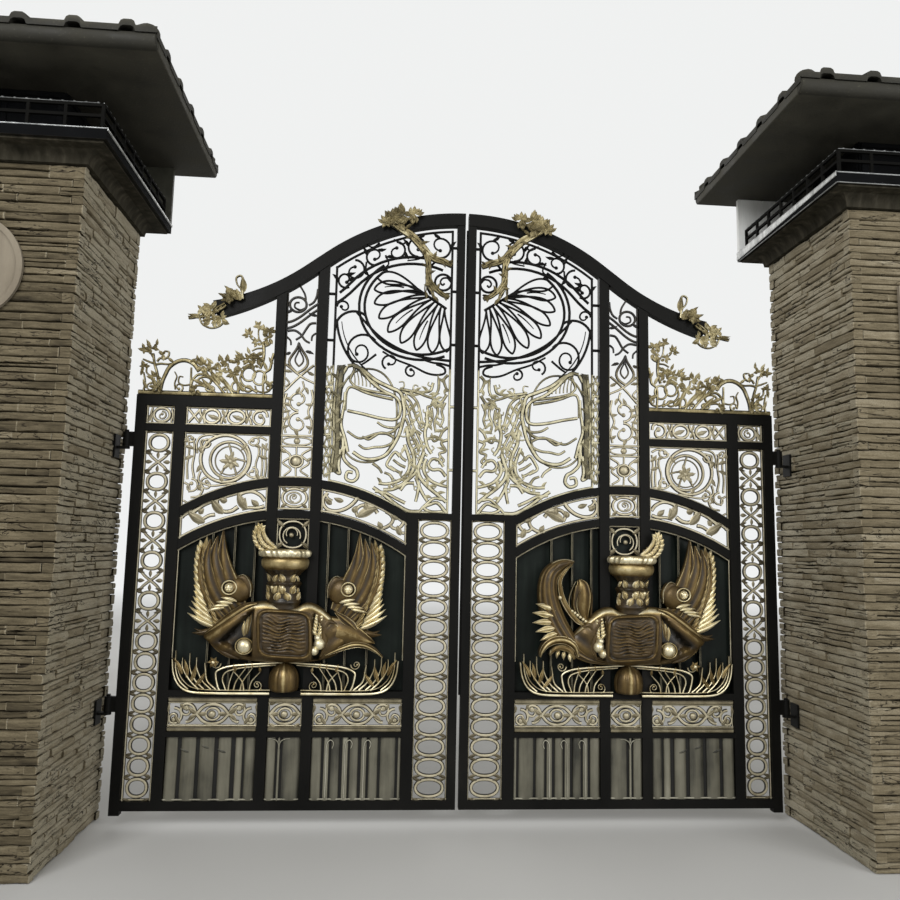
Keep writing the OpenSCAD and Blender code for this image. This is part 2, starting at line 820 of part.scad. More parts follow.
// Shield with its tablet, the neck and domed cap above it, and the plume
module crest_shield(side) {
    front = gate_y - bar_d/2;
    rim = 22;
    rim_out = 14;
    tablet = [165, 140];
    color(GOLD)
        on_side(side)
            in_front()
                union() {
                    intersection() {
                        bulge(crest_at(0, SHIELD_Z), 520, crest_out);
                        raise(CREST_CLIP)
                            shield_2d();
                    }
                    intersection() {
                        bulge(crest_at(0, SHIELD_Z), 520, crest_out + rim_out);
                        raise(CREST_CLIP)
                            difference() {
                                tablet_2d(tablet);
                                tablet_2d(tablet - [rim, rim]);
                            }
                    }
                    translate([ARCH_X, front + AXIS_BACK, SHIELD_Z])
                        rotate_extrude()
                            neck_2d();
                    for (s = [-1, 1])
                        translate([ARCH_X + s*225, front - 75, SHIELD_Z - 80])
                            sphere(52);
                    raise(44)
                        plume_2d();
                }
}

// Outline of the shield: a rounded middle and two lobes that droop outwards, drawn flat
module shield_2d() {
    intersection() {
        union() {
            translate(crest_at(0, SHIELD_Z - 10))
                circle(215);
            for (s = [-1, 1]) {
                leaf_2d(crest_at(s*40, SHIELD_Z + 65), turned(-15, s), 440, 280);
                leaf_2d(crest_at(s*60, SHIELD_Z + 110), turned(-2, s), 230, 100);
            }
        }
        area_2d([ARCH_X - 500, ARCH_X + 500], [SHIELD_Z - 175, SHIELD_Z + 165]);
    }
}

// Rounded tablet in the middle of the shield, drawn flat, size from middle to edge
module tablet_2d(size) {
    r = 50;
    translate(crest_at(0, SHIELD_Z)) {
        translate([r - size[0], -size[1]])
            square([2*(size[0] - r), 2*size[1]]);
        translate([-size[0], r - size[1]])
            square([2*size[0], 2*(size[1] - r)]);
        for (sx = [-1, 1], sz = [-1, 1])
            translate([sx*(size[0] - r), sz*(size[1] - r)])
                circle(r);
    }
}

// Half section of the neck, its collars and the domed cap, upwards from the middle of the shield
module neck_2d() {
    neck_r = 98;
    translate([0, 120])
        square([neck_r, 240]);
    for (z = [180, 335])
        translate([neck_r, z])
            circle(15);
    intersection() {
        translate([0, 345])
            square([150, 140]);
        union() {
            translate([0, 345])
                square([90, 100]);
            translate([90, 410])
                circle(58);
            translate([0, 365])
                circle(118);
        }
    }
}

// Plume of three leaves that rises from the outer side of the cap, drawn flat
module plume_2d() {
    for (i = [0:2])
        leaf_2d(crest_at(95, SHIELD_Z + 435 + 10*i), 38 + 20*i, 150 + 20*i, 60);
}

// Feathered wings either side of the shield, with a ball on each
module crest_wings(side) {
    feathers = 8;
    arm_out = 70;
    color(GOLD)
        on_side(side)
            in_front()
                for (s = [-1, 1]) {
                    intersection() {
                        bulge(crest_at(s*370, 1260), 340, arm_out);
                        raise(arm_out)
                            difference() {
                                leaf_2d(crest_at(s*255, 1060), turned(62, s), 540, 190);
                                shield_2d();
                            }
                    }
                    for (layer = [0, 1])
                        raise(layer == 0 ? 30 : 18)
                            difference() {
                                for (i = [layer:2:feathers - 1]) {
                                    a = 84*i/(feathers - 1) - 2;
                                    leaf_2d(crest_at(s*(330 - 4*i), 1085 + 14*i), turned(a, s), 235 + 285*pow(sin(a), 2), 84);
                                }
                                shield_2d();
                            }
                    translate([ARCH_X + s*330, gate_y - bar_d/2 - arm_out + 15, 1360])
                        sphere(48);
                }
}

// Leaf scrolls and egg at the foot of the crest
module crest_feet(side) {
    foot_t = 26;
    base = LOCK_RAIL[0] + 13;
    egg_r = 92;
    egg_z = 80;
    color(GOLD)
        on_side(side)
            in_front()
                union() {
                    translate([ARCH_X, gate_y - bar_d/2 + AXIS_BACK/2, base])
                        rotate_extrude()
                            intersection() {
                                square([egg_r, 190]);
                                translate([-30, egg_z])
                                    circle(egg_r + 30);
                            }
                    for (s = [-1, 1]) {
                        raise(foot_t) {
                            area_2d(s > 0 ? [ARCH_X, ARCH_X + 590] : [ARCH_X - 590, ARCH_X], [base, base + 24]);
                            volute_2d(crest_at(s*575, base + 96), 84, -90, 3, s, 24);
                            for (i = [0:3])
                                leaf_2d(crest_at(s*(190 + 90*i), base + 8), turned(122 - 16*i, s), 160, 40);
                        }
                        raise(foot_t - 8)
                            leaf_2d(crest_at(s*40, base + 150), turned(-5, s), 420, 44);
                    }
                }
}

// The upper grille inside its frame's outer edge, between two heights, drawn flat
module grille_2d(xs, zs, r) {
    intersection() {
        area_2d(xs, zs);
        translate(CONVEX_C)
            circle(r, $fn = facets(r));
    }
}

// Tabs that carry the upper grille's frame from the stiles beside it, at the given heights
module tabs_2d(inner, outer) {
    tab_h = 20;
    for (z = inner)
        area_2d([MEETING[1], GRILLE[0]], [z, z + tab_h]);
    for (z = outer)
        area_2d([GRILLE[1], STILE_A[0]], [z, z + tab_h]);
}

// One petal of the fan, drawn flat, with its root at s of the way down the line that they all grow from
module fan_petal_2d(s) {
    root = FAN_ROOTS[0]*(1 - s) + FAN_ROOTS[1]*s;
    petal_2d(root, 12 - 107*s, 270 + 80*sin(180*s), 84 - 24*s, 9);
}

// Fan of petals in the crown of the leaf, with the band that sweeps over it
module fan_panel(side) {
    eye_r = 53;
    zs = [GRILLE_SPLIT, crown_z];
    over_band = [
        [170, 3545, 70, -90, -1], [312, 3544, 66, -90, 1], [450, 3520, 56, 90, 1],
        [588, 3463, 54, -90, 1], [712, 3380, 64, 90, 1], [766, 3300, 47, -120, 1]
    ];
    color(BLACK)
        on_side(side)
            plate() {
                difference() {
                    grille_2d(GRILLE, zs, GRILLE_R);
                    grille_2d(GRILLE + [flat_w, -flat_w], zs - [1, 0], GRILLE_R - flat_w);
                }
                tabs_2d([2900, 3250, 3540], [2900, 3200]);
                intersection() {
                    grille_2d(GRILLE, zs, GRILLE_R);
                    union() {
                        sweep_2d();
                        for (r = [fan_r, fan_r - 34])
                            translate(FAN_C)
                                scale([1, FAN_FLAT])
                                    arc_2d([0, 0], r, -128, 52);
                        for (i = [0:petals - 1])
                            fan_petal_2d(i/(petals - 1));
                        line_2d(FAN_ROOTS[0], FAN_ROOTS[1], 40);
                        arc_2d([90, 3330], 165, -35, 50);
                        ring_2d([GRILLE[0] + eye_r + 8, 3318], eye_r, eye_r);
                        for (v = over_band)
                            volute_2d([v[0], v[1]], v[2], v[3], 3, v[4]);
                        arc_2d([705, 2985], 118, -5, 127);
                        arc_2d(LEAF_EDGE_C, LEAF_EDGE_R, -80, -4);
                        volute_2d([642, 2858], 96, 141, 4, -1);
                    }
                }
            }
}

// Where the outer line of the vine's trunk is at height z
function trunk_x(z) = VINE_TRUNK_C[0] + sqrt(pow(VINE_TRUNK_R, 2) - pow(z - VINE_TRUNK_C[1], 2));

// Vine scrollwork over the transom, with a cartouche
module vine_panel(side) {
    border = 12;
    zs = [TRANSOM[1], GRILLE_SPLIT];
    scrolls = [
        [207, 1950, 105, -90, -1], [207, 2165, 105, -90, 1], [207, 2385, 105, -90, -1],
        [194, 2594, 96, -90, -1], [324, 2666, 66, -90, 1], [456, 1990, 97, 180, -1],
        [650, 2050, 82, 90, -1], [772, 2066, 50, 90, -1], [548, 2135, 42, 200, 1]
    ];
    color(PATINA)
        on_side(side)
            plate() {
                difference() {
                    over_arch_2d(GRILLE, zs);
                    over_arch_2d(GRILLE + [border, -border], zs + [border, 1], border);
                }
                tabs_2d([2100, 2500], [2300, 2600]);
                intersection() {
                    over_arch_2d(GRILLE, zs);
                    union() {
                        for (r = [0, -34])
                            arc_2d(VINE_TRUNK_C, VINE_TRUNK_R + r, -9, 9.4);
                        for (v = scrolls)
                            volute_2d([v[0], v[1]], v[2], v[3], 3, v[4]);
                        ring_2d(CARTOUCHE_C, 212, 310);
                        ring_2d(CARTOUCHE_C, 178, 276, 8);
                        for (dz = [-70, 0, 70])
                            arc_2d(CARTOUCHE_C + [0, 460 + dz], 590, 248, 292, 9);
                        arc_2d(LEAF_EDGE_C, LEAF_EDGE_R, -96, -4);
                        for (z = [2130:78:2520])
                            leaf_2d([trunk_x(z), z], 58, 84, 26);
                    }
                }
            }
}

// Narrow strip of scrolls between stile A and stile B
module side_strip(side) {
    border = 9;
    bars_z = [2222, 2292];
    pitch = 180;
    count = 4;
    foot = UPPER_ARCH_Z + ARCH_BAR/2;
    color(PATINA)
        on_side(side)
            plate() {
                difference() {
                    for (x = [BAYS[1][0], BAYS[1][1] - border])
                        area_2d([x, x + border], [foot - 20, camel_z(x + border/2)]);
                    arch_disc_2d(UPPER_ARCH_Z, -ARCH_BAR/2);
                    camelback_2d();
                }
                intersection() {
                    over_arch_2d(BAYS[1], [foot - 20, crown_z]);
                    union() {
                        arc_2d([ARCH_X, UPPER_ARCH_Z - ARCH_R], ARCH_R + (ARCH_BAR + border)/2, 80, 100, border);
                        for (z = bars_z)
                            area_2d(BAYS[1], [z, z + 10]);
                        volute_2d([ARCH_X, (foot + bars_z[0] + border)/2], 86, 90, 4, 1, 10);
                        ring_2d([ARCH_X, (bars_z[0] + bars_z[1] + 10)/2], 94, 32, 9);
                        for (i = [0:count - 1])
                            volute_2d([ARCH_X, bars_z[1] + 10 + pitch*(i + 0.5)], pitch/2 - 4, -90, 4, i % 2 == 0 ? 1 : -1, 11);
                        sweep_2d();
                        volute_2d([ARCH_X - 8, 3184], 72, -90, 4, 1, 10);
                    }
                }
            }
}

// Medallion panel and scroll band of the low side part
module shoulder_panel(side) {
    border = 9;
    boss = [1435, 2134];
    rings = [168, 104];
    boss_r = 40;
    xs = BAYS[2];
    end_xs = [STILE_5[1], BACK[0]];
    band_zs = [SHOULDER_LOW[1], SHOULDER_HIGH[0]];
    band_z = (band_zs[0] + band_zs[1])/2;
    corners = [
        [xs[0] + 58, 2242, 52, 0, -1], [xs[1] - 54, 2246, 48, 180, 1], [xs[1] - 66, 1985, 60, 90, 1],
        [xs[1] - 46, 1886, 40, 90, -1], [xs[0] + 50, 2078, 44, 90, 1]
    ];
    color(PATINA)
        on_side(side)
            plate() {
                difference() {
                    over_arch_2d(xs, [TRANSOM[1], SHOULDER_LOW[0]]);
                    over_arch_2d(xs + [border, -border], [TRANSOM[0], SHOULDER_LOW[0] - border], border);
                }
                intersection() {
                    over_arch_2d(xs, [TRANSOM[1], SHOULDER_LOW[0]]);
                    union() {
                        for (r = rings)
                            ring_2d(boss, r, r);
                        for (a = [45:90:315]) {
                            line_2d(boss + polar(boss_r - 4, a), boss + polar(rings[0] - 6, a), 9);
                            leaf_2d(boss + polar(boss_r - 10, a + 45), a + 45, 66, 36);
                        }
                        translate(boss)
                            circle(boss_r);
                        for (v = corners)
                            volute_2d([v[0], v[1]], v[2], v[3], 3, v[4], 11);
                    }
                }
                intersection() {
                    area_2d(xs, band_zs);
                    union() {
                        frame_2d(xs, band_zs, 8);
                        ring_2d([(xs[0] + xs[1])/2, band_z], 50, 50);
                        for (s = [-1, 1]) {
                            volute_2d([(xs[0] + xs[1])/2 + s*110, band_z], 46, 90, 3, s, 11);
                            volute_2d([(xs[0] + xs[1])/2 + s*202, band_z], 46, -90, 3, s, 11);
                        }
                    }
                }
                frame_2d(end_xs, band_zs, 8);
                volute_2d([(end_xs[0] + end_xs[1])/2, band_z], 46, 90, 4, 1, 10);
            }
}

// Gilt cresting on the shoulder: scrolls and leaves on a strip, and a tall curl by stile B
module shoulder_cresting(side) {
    t = 16;
    w = 13;
    z = shoulder_z;
    strip_h = 14;
    scrolls = [
        [1268, 64, 1], [1372, 50, -1], [1478, 58, 1], [1588, 50, -1], [1760, 92, -1], [1890, 52, 1]
    ];
    leaves = [
        [1318, 60, 105, 190], [1424, 40, 85, 170], [1532, 40, 96, 175], [1640, 30, 88, 180],
        [1672, 20, 62, 130], [1900, 90, 100, 150], [1930, 90, 76, 130]
    ];
    curl = [
        [1204, 40, 86, 210], [1212, 220, 72, 170], [1226, 300, 118, 120], [1250, 350, 60, 130],
        [1270, 400, 20, 110], [1266, 400, 100, 90]
    ];
    color(GOLD)
        on_side(side)
            plate(t) {
                area_2d([STILE_B[1], leaf_w], [z, z + strip_h]);
                intersection() {
                    area_2d([STILE_B[1], leaf_w], [z, z + 500]);
                    union() {
                        for (v = scrolls)
                            volute_2d([v[0], z + v[1] + 2], v[1], -90, 3, v[2], w);
                        for (v = concat(leaves, curl))
                            leaf_2d([v[0], z + v[1]], v[2], v[3], v[3]*0.3);
                    }
                }
            }
}

// Gilt leaves on the camelback rail and at its tail
module leaf_sprays(side) {
    t = 30;
    stem = [
        [400, 3680, 214, 190, 64], [300, 3606, 226, 190, 54], [215, 3490, 200, 140, 44],
        [236, 3500, 262, 190, 46], [238, 3340, 236, 150, 60], [250, 3330, 210, 130, 44],
        [252, 3300, 250, 120, 40]
    ];
    knots = [[290, 3606], [214, 3496], [236, 3336]];
    knot_r = 27;
    crown = [
        [430, 3650, 128, 190, 62], [430, 3650, 104, 175, 60], [430, 3650, 78, 165, 58],
        [430, 3650, 50, 150, 56], [430, 3650, 20, 120, 50]
    ];
    tail = [
        [1430, 3130, 66, 150, 50], [1425, 3130, 100, 160, 44], [1440, 3130, 34, 130, 44],
        [1540, 3080, -10, 170, 50], [1540, 3080, -35, 150, 50], [1530, 3080, -62, 160, 56],
        [1540, 3080, 22, 130, 46], [1520, 3060, -110, 120, 50]
    ];
    color(GOLD)
        on_side(side)
            plate(t, -(CAMEL_D + t)/2) {
                for (group = [stem, crown, tail], v = group)
                    leaf_2d([v[0], v[1]], v[2], v[3], v[4]);
                for (c = knots)
                    translate(c)
                        circle(knot_r);
            }
}

// Eyes that turn on the hinge pins
module hinge_eyes(side) {
    clearance = 0.5;
    rise = 2;
    color(BLACK)
        on_side(side)
            for (z = HINGE_Z)
                translate([HINGE_X, gate_y, z + rise])
                    difference() {
                        union() {
                            cylinder(h = EYE_H - rise, r = eye_r);
                            translate([leaf_w - HINGE_X, -12, 0])
                                cube([HINGE_X - leaf_w, 24, EYE_H - rise]);
                        }
                        translate([0, 0, -1])
                            cylinder(h = EYE_H + 2, r = pin_r + clearance);
                    }
}

front_plaques();
lantern_piers();
cap_railings();
rear_screens();
hinge_brackets();
meeting_bead();
for (side = SIDES) {
    pillar(side);
    cap(side);
    roof(side);
    stiles(side);
    lower_rails(side);
    arch_rails(side);
    shoulder_rails(side);
    camelback_rail(side);
    flute_panels(side);
    scroll_band(side);
    ring_strips(side);
    backing_sheet(side);
    arch_scrolls(side);
    crest_shield(side);
    crest_wings(side);
    crest_feet(side);
    fan_panel(side);
    vine_panel(side);
    side_strip(side);
    shoulder_panel(side);
    shoulder_cresting(side);
    leaf_sprays(side);
    hinge_eyes(side);
}
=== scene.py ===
"""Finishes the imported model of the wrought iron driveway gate.

Shape functions work in millimetres in the gate's own frame: x from the middle of the gateway to
the right, y towards the back, z up from the ground. A leaf's pieces are worked out for the right
leaf and mirrored for the left one. Plane figures are rows of (x, z)."""

import math

import bpy
import numpy as np
from mathutils import Matrix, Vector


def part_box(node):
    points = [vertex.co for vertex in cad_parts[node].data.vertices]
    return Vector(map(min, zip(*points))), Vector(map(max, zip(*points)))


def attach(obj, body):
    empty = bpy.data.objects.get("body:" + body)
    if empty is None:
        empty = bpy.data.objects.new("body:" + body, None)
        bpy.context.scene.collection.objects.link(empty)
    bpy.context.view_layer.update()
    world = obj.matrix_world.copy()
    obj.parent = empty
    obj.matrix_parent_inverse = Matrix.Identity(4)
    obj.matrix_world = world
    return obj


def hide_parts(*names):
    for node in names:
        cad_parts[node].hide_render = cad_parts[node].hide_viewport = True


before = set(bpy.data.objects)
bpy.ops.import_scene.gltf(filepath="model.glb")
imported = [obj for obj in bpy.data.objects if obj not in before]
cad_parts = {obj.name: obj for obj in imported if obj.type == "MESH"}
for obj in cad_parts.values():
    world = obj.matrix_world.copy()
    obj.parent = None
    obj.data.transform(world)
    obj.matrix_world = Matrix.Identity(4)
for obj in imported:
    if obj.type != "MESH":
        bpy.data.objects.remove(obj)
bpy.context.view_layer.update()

TAU = 2 * math.pi
# A leaf's middle plane and the front of its stiles.
LEAF_Y = 300.0
STILE_FRONT = 275.0
# The circle of the two arch rails and the heights of their crowns, and the one of the camelback rail.
ARCH_X = 1028.5
ARCH_R = 1256.0
UPPER_ARCH = 2012.0
LOWER_ARCH = 1815.0
CROWN_TOP = 3735.0
CROWN_R = 1430.0
# From side to side: the three bays between the stiles under the arches, the grille, the narrow ring chain.
BAYS = ((338, 867), (929, 1128), (1189, 1706))
GRILLE = (85, 830)
CHAIN = (1770, 1941)
# Heights in metres: above the first the gold of the scrollwork is darkened towards the black paint, painted
# shade for the dark it shows against the bright sky, and above the second the ledge begins.
PAINTED_SHADE_FROM = 2.76
LEDGE_Z = 3.679
# The pale colour behind the gate, and the one the floor fades to.
PALE = (0.87, 0.88, 0.875, 1)
# Section of a bar and of a leaf blade, and how far each of its points is rubbed bright.
BAR_RUB = np.array([0.0, 0.08, 0.95, 1.0, 0.95, 0.08, 0.0, 0.0, 0.85, 0.85, 0.0])
BAR_SECTION = np.array([
    [0.5, -0.06], [0.37, -0.16], [0.27, -0.42], [0, -0.5], [-0.27, -0.42], [-0.37, -0.16], [-0.5, -0.06],
    [-0.5, 0.28], [-0.3, 0.5], [0.3, 0.5], [0.5, 0.28]
])
BLADE_SECTION = np.array([
    [1, 0.12], [0.55, 0.62], [0.13, 0.68], [0, 1], [-0.13, 0.68], [-0.55, 0.62], [-1, 0.12], [0, 0]
])
BLADE_RUB = np.array([0.9, 0.55, 0.7, 1.0, 0.7, 0.55, 0.9, 0.75])


# Gathering surfaces into a mesh


class Shape:
    """Closed surfaces gathered into one mesh, with one number from 0 to 1 at each point: how far
    its finish is worn bright by rubbing, or for stone and tiles the tone of the piece. On the stone, the
    crest and the lowest boards the number also carries painted light: painted highlights and painted shade."""

    def __init__(self):
        self.points, self.rub, self.faces, self.count = [], [], [], 0

    def add(self, points, rub, *faces):
        """Adds a closed surface. The sum of the signed volumes of the wedges between its middle and
        its faces tells whether the faces look outwards; if it is negative they are turned round."""
        points = np.asarray(points, float).reshape(-1, 3)
        centred = points - points.mean(0)
        volume = 0.0
        for face in faces:
            for k in range(1, face.shape[1] - 1):
                a, b, c = centred[face[:, 0]], centred[face[:, k]], centred[face[:, k + 1]]
                volume += np.einsum("ij,ij->", a, np.cross(b, c))
        for face in faces:
            self.faces.append((face if volume > 0 else face[:, ::-1]) + self.count)
        self.points.append(points)
        self.rub.append(np.asarray(rub, float))
        self.count += len(points)

    def double(self, x):
        """Adds the mirror image of all that is there, about the upright plane at the given x."""
        points = np.concatenate(self.points) * (-1, 1, 1) + (2 * x, 0, 0)
        self.faces += [face[:, ::-1] + self.count for face in self.faces]
        self.points.append(points)
        self.rub.append(np.concatenate(self.rub))
        self.count *= 2

    def tube(self, rings, rub, start=None, end=None, loop=False):
        """Adds the tube through rings (number of rings, points in a ring, 3). Each open end is closed
        by a flat face, or by a fan to the point given for it; a loop joins its last ring to its first."""
        n, k = rings.shape[:2]
        rub = np.broadcast_to(rub, (n, k)).ravel()
        ids = np.arange(n * k).reshape(n, k)
        a, b = (ids, np.roll(ids, -1, 0)) if loop else (ids[:-1], ids[1:])
        faces = [np.stack([a, np.roll(a, -1, 1), np.roll(b, -1, 1), b], -1).reshape(-1, 4)]
        points = [rings.reshape(-1, 3)]
        for tip, ring in () if loop else ((start, ids[0][::-1]), (end, ids[-1])):
            if tip is None:
                faces.append(ring[None, :])
            else:
                top = n * k + len(points) - 1
                faces.append(np.stack([ring, np.roll(ring, -1), np.full(k, top)], -1))
                points.append(np.asarray(tip, float)[None, :])
                rub = np.append(rub, rub[ring[0]])
        self.add(np.concatenate(points), rub, *faces)

    def batch(self, rings, rub):
        """Adds many tubes of the same make at once: rings (tubes, rings, points in a ring, 3)."""
        m, n, k = rings.shape[:3]
        ids = np.arange(n * k).reshape(n, k)
        a, b = ids[:-1], ids[1:]
        sides = np.stack([a, np.roll(a, -1, 1), np.roll(b, -1, 1), b], -1).reshape(-1, 4)
        caps = np.stack([ids[0][::-1], ids[-1]])
        shift = (np.arange(m) * n * k)[:, None, None]
        rub = np.broadcast_to(rub, (m, n, k)).ravel()
        faces = [(part[None] + shift).reshape(-1, part.shape[1]) for part in (sides, caps)]
        self.add(rings.reshape(-1, 3), rub, *faces)

    def shell(self, front, back, rub, back_rub):
        """Adds a closed shell between two grids of the same layout, joined along their four edges."""
        n, k = front.shape[:2]
        ids = np.arange(n * k).reshape(n, k)

        def quads(grid):
            """The four-cornered faces between neighbouring points of a grid of point numbers."""
            return np.stack([grid[:-1, :-1], grid[:-1, 1:], grid[1:, 1:], grid[1:, :-1]], -1).reshape(-1, 4)

        edge = np.concatenate([ids[0, :-1], ids[:-1, -1], ids[-1, :0:-1], ids[:0:-1, 0]])
        rim = np.stack([np.roll(edge, -1), edge, edge + n * k, np.roll(edge, -1) + n * k], -1)
        rub = np.concatenate([np.broadcast_to(rub, (n, k)).ravel(), np.full(n * k, back_rub)])
        points = np.concatenate([front.reshape(-1, 3), back.reshape(-1, 3)])
        self.add(points, rub, quads(ids), quads(ids + n * k)[:, ::-1], rim)

    def relief(self, front, y, rub, back_rub=0.0):
        """Adds a closed shell between a grid and its own shadow on the upright plane at y."""
        back = front.copy()
        back[..., 1] = y
        self.shell(front, back, rub, back_rub)

    def blocks(self, low, high, rub, chamfer=0.0):
        """Adds boxes with softened long edges between rows of lowest and highest corners. The section
        is an octagon across the two shorter directions, carried along the longest one."""
        low, high = np.atleast_2d(low).astype(float), np.atleast_2d(high).astype(float)
        size = high - low
        along = np.argmax(size, 1)
        p, q = (along + 1) % 3, (along + 2) % 3
        row = np.arange(len(low))
        c = np.minimum(chamfer, 0.3 * np.minimum(size[row, p], size[row, q]))[:, None]
        sp, sq = size[row, p][:, None], size[row, q][:, None]
        one = np.ones((1, 8))
        up = np.concatenate([c, sp - c, sp, sp, sp - c, c, 0 * c, 0 * c], 1)
        vq = np.concatenate([0 * c, 0 * c, c, sq - c, sq, sq, sq - c, c], 1)
        inset = c * one
        length = size[row, along][:, None] * one
        places = (0 * length, inset, length - inset, length)
        rings = np.zeros((len(low), 4, 8, 3))
        for ring, (place, shrink) in enumerate(zip(places, (1, 0, 0, 1))):
            su = up + shrink * inset * np.sign(sp / 2 - up) * (np.abs(up - sp / 2) > sp / 2 - c - 1e-6)
            sv = vq + shrink * inset * np.sign(sq / 2 - vq) * (np.abs(vq - sq / 2) > sq / 2 - c - 1e-6)
            rings[row, ring, :, along] = place + low[row, along][:, None]
            rings[row, ring, :, p] = su + low[row, p][:, None]
            rings[row, ring, :, q] = sv + low[row, q][:, None]
        self.batch(rings, rub)


def make(name, shape, finish, body, replaces=(), mirror=False, smooth=40):
    """Turns a Shape into an object in metres, mirrored in x if asked, with smooth shading between
    faces that meet at less than the given angle, and hands it to the frame."""
    metres = 0.001
    points = np.concatenate(shape.points) * metres
    rub = np.concatenate(shape.rub)
    if mirror:
        points[:, 0] *= -1
    faces = [face[:, ::-1] if mirror else face for face in shape.faces]
    corners = np.concatenate([face.ravel() for face in faces])
    sizes = np.concatenate([np.full(len(face), face.shape[1]) for face in faces])
    mesh = bpy.data.meshes.new(name)
    mesh.vertices.add(len(points))
    mesh.vertices.foreach_set("co", points.astype(np.float32).ravel())
    mesh.loops.add(len(corners))
    mesh.loops.foreach_set("vertex_index", corners.astype(np.int32))
    mesh.polygons.add(len(sizes))
    mesh.polygons.foreach_set("loop_start", np.concatenate([[0], np.cumsum(sizes)[:-1]]).astype(np.int32))
    # The attribute holds rub and tone, and on the stone, the crest and the lowest boards painted light and
    # shade.
    mesh.attributes.new("rub_and_painted_light", "FLOAT", "POINT").data.foreach_set("value", rub.astype(np.float32))
    mesh.update(calc_edges=True)
    mesh.validate()
    mesh.shade_smooth()
    mesh.set_sharp_from_angle(angle=math.radians(smooth))
    piece = bpy.data.objects.new(name, mesh)
    bpy.context.scene.collection.objects.link(piece)
    mesh.materials.append(finish)
    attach(piece, body)
    if replaces:
        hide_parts(*replaces)


def both_leaves(name, shape, finish, replaces, smooth=40):
    """Makes a leaf's piece for the right leaf, and its mirror image for the left one."""
    for side in ("right", "left"):
        nodes = [f"{node}_{side}" for node in replaces]
        make(f"{name}_{side}", shape, finish, f"{side}_leaf", nodes, side == "left", smooth)


# Plane figures


def ray(r, a):
    """The point at distance r and angle a in degrees."""
    return np.array([r * math.cos(math.radians(a)), r * math.sin(math.radians(a))])


def arc(c, r, a0, a1, sag=0.6):
    """Points on the circle of radius r round c from angle a0 to a1, so close that no chord leaves the
    circle by more than sag."""
    step = 2 * math.degrees(math.acos(max(0.5, 1 - sag / r)))
    t = np.radians(np.linspace(a0, a1, max(3, int(abs(a1 - a0) / step) + 2)))
    return np.stack([c[0] + r * np.cos(t), c[1] + r * np.sin(t)], -1)


def volute(c, r, a, n, turn):
    """A spiral of n half circles, each shrink times the last, from the point of circle (c, r) at
    angle a; turn is 1 to go anticlockwise and -1 to go clockwise."""
    shrink = 0.62
    c = np.asarray(c, float)
    runs = []
    for _ in range(n):
        runs.append(arc(c, r, a, a + 180 * turn, 0.9)[:-1])
        a += 180 * turn
        c = c + ray(r * (1 - shrink), a)
        r *= shrink
    runs.append((c + ray(r, a))[None, :])
    return np.concatenate(runs)


def oval(c, rx, rz, count=28):
    """A closed ellipse round c."""
    t = np.linspace(0, TAU, count, endpoint=False)
    return np.stack([c[0] + rx * np.cos(t), c[1] + rz * np.sin(t)], -1)


def link(c, rx, rz, square=2.6, count=24):
    """A closed rounded link round c: the superellipse |x/rx|^s + |z/rz|^s = 1."""
    t = np.linspace(0, TAU, count, endpoint=False)
    x, z = (np.sign(part) * np.abs(part) ** (2 / square) for part in (np.cos(t), np.sin(t)))
    return np.stack([c[0] + rx * x, c[1] + rz * z], -1)


def petal(root, a, long, wide, bend, count, peak=1.55, blunt=1.0):
    """A closed curved petal from its root: its middle line starts along angle a and turns by bend
    degrees on the way, and at s of its length it is wide * sin(pi * s^peak)^blunt across."""
    s = (1 - np.cos(np.linspace(0, TAU, count, endpoint=False))) / 2
    side = np.where(np.arange(count) < count / 2, 1, -1)
    t = np.radians(a + bend * s)
    fine = np.linspace(0, 1, 60)
    turn = np.radians(a + bend * fine)
    steps = [np.interp(s, fine, np.cumsum(part(turn)) / len(fine)) for part in (np.cos, np.sin)]
    middle = np.stack(steps, -1) * long
    half = wide / 2 * np.clip(np.sin(math.pi * s**peak), 0, 1) ** blunt * side
    return np.asarray(root) + middle + half[:, None] * np.stack([-np.sin(t), np.cos(t)], -1)


def curve(*knots, count=16):
    """A smooth curve through the knots: the Catmull-Rom cubic between each pair of them."""
    k = np.array(knots, float)
    k = np.concatenate([[2 * k[0] - k[1]], k, [2 * k[-1] - k[-2]]])
    s = np.linspace(0, len(k) - 3, count)
    i = np.minimum(s.astype(int), len(k) - 4)
    t = (s - i)[:, None]
    p0, p1, p2, p3 = k[i], k[i + 1], k[i + 2], k[i + 3]
    return 0.5 * (
        2 * p1 + (p2 - p0) * t + (2 * p0 - 5 * p1 + 4 * p2 - p3) * t**2 + (3 * p1 - p0 - 3 * p2 + p3) * t**3
    )


def across(path, loop):
    """Unit vectors across a path, 90 degrees anticlockwise from its direction at each point."""
    if loop:
        d = np.roll(path, -1, 0) - np.roll(path, 1, 0)
    else:
        d = np.gradient(path, axis=0)
    d /= np.linalg.norm(d, axis=1)[:, None] + 1e-9
    return np.stack([-d[:, 1], d[:, 0]], -1)


def within(path, xs, zs):
    """The longest run of a path that stays between two places across and two heights."""
    keep = (path[:, 0] > xs[0]) & (path[:, 0] < xs[1]) & (path[:, 1] > zs[0]) & (path[:, 1] < zs[1])
    edges = np.flatnonzero(np.diff(np.concatenate([[0], keep.astype(int), [0]])))
    runs = edges.reshape(-1, 2)
    start, stop = runs[np.argmax(runs[:, 1] - runs[:, 0])]
    return path[start:stop]


def depth_inside(x, z, corners):
    """How far points lie inside a convex figure whose corners run anticlockwise: the least distance to
    the lines of its sides, negative outside."""
    least = np.inf
    for (xa, za), (xb, zb) in zip(corners, corners[1:] + corners[:1]):
        inside = (xb - xa) * (z - za) - (zb - za) * (x - xa)
        least = np.minimum(least, inside / math.hypot(xb - xa, zb - za))
    return least


def arch_z(crown, x, r=ARCH_R):
    """Height at x of a circle of radius r round the centre of an arch rail, whose own radius is ARCH_R
    and whose highest point is at the height crown."""
    return crown - ARCH_R + np.sqrt(r**2 - (x - ARCH_X) ** 2)


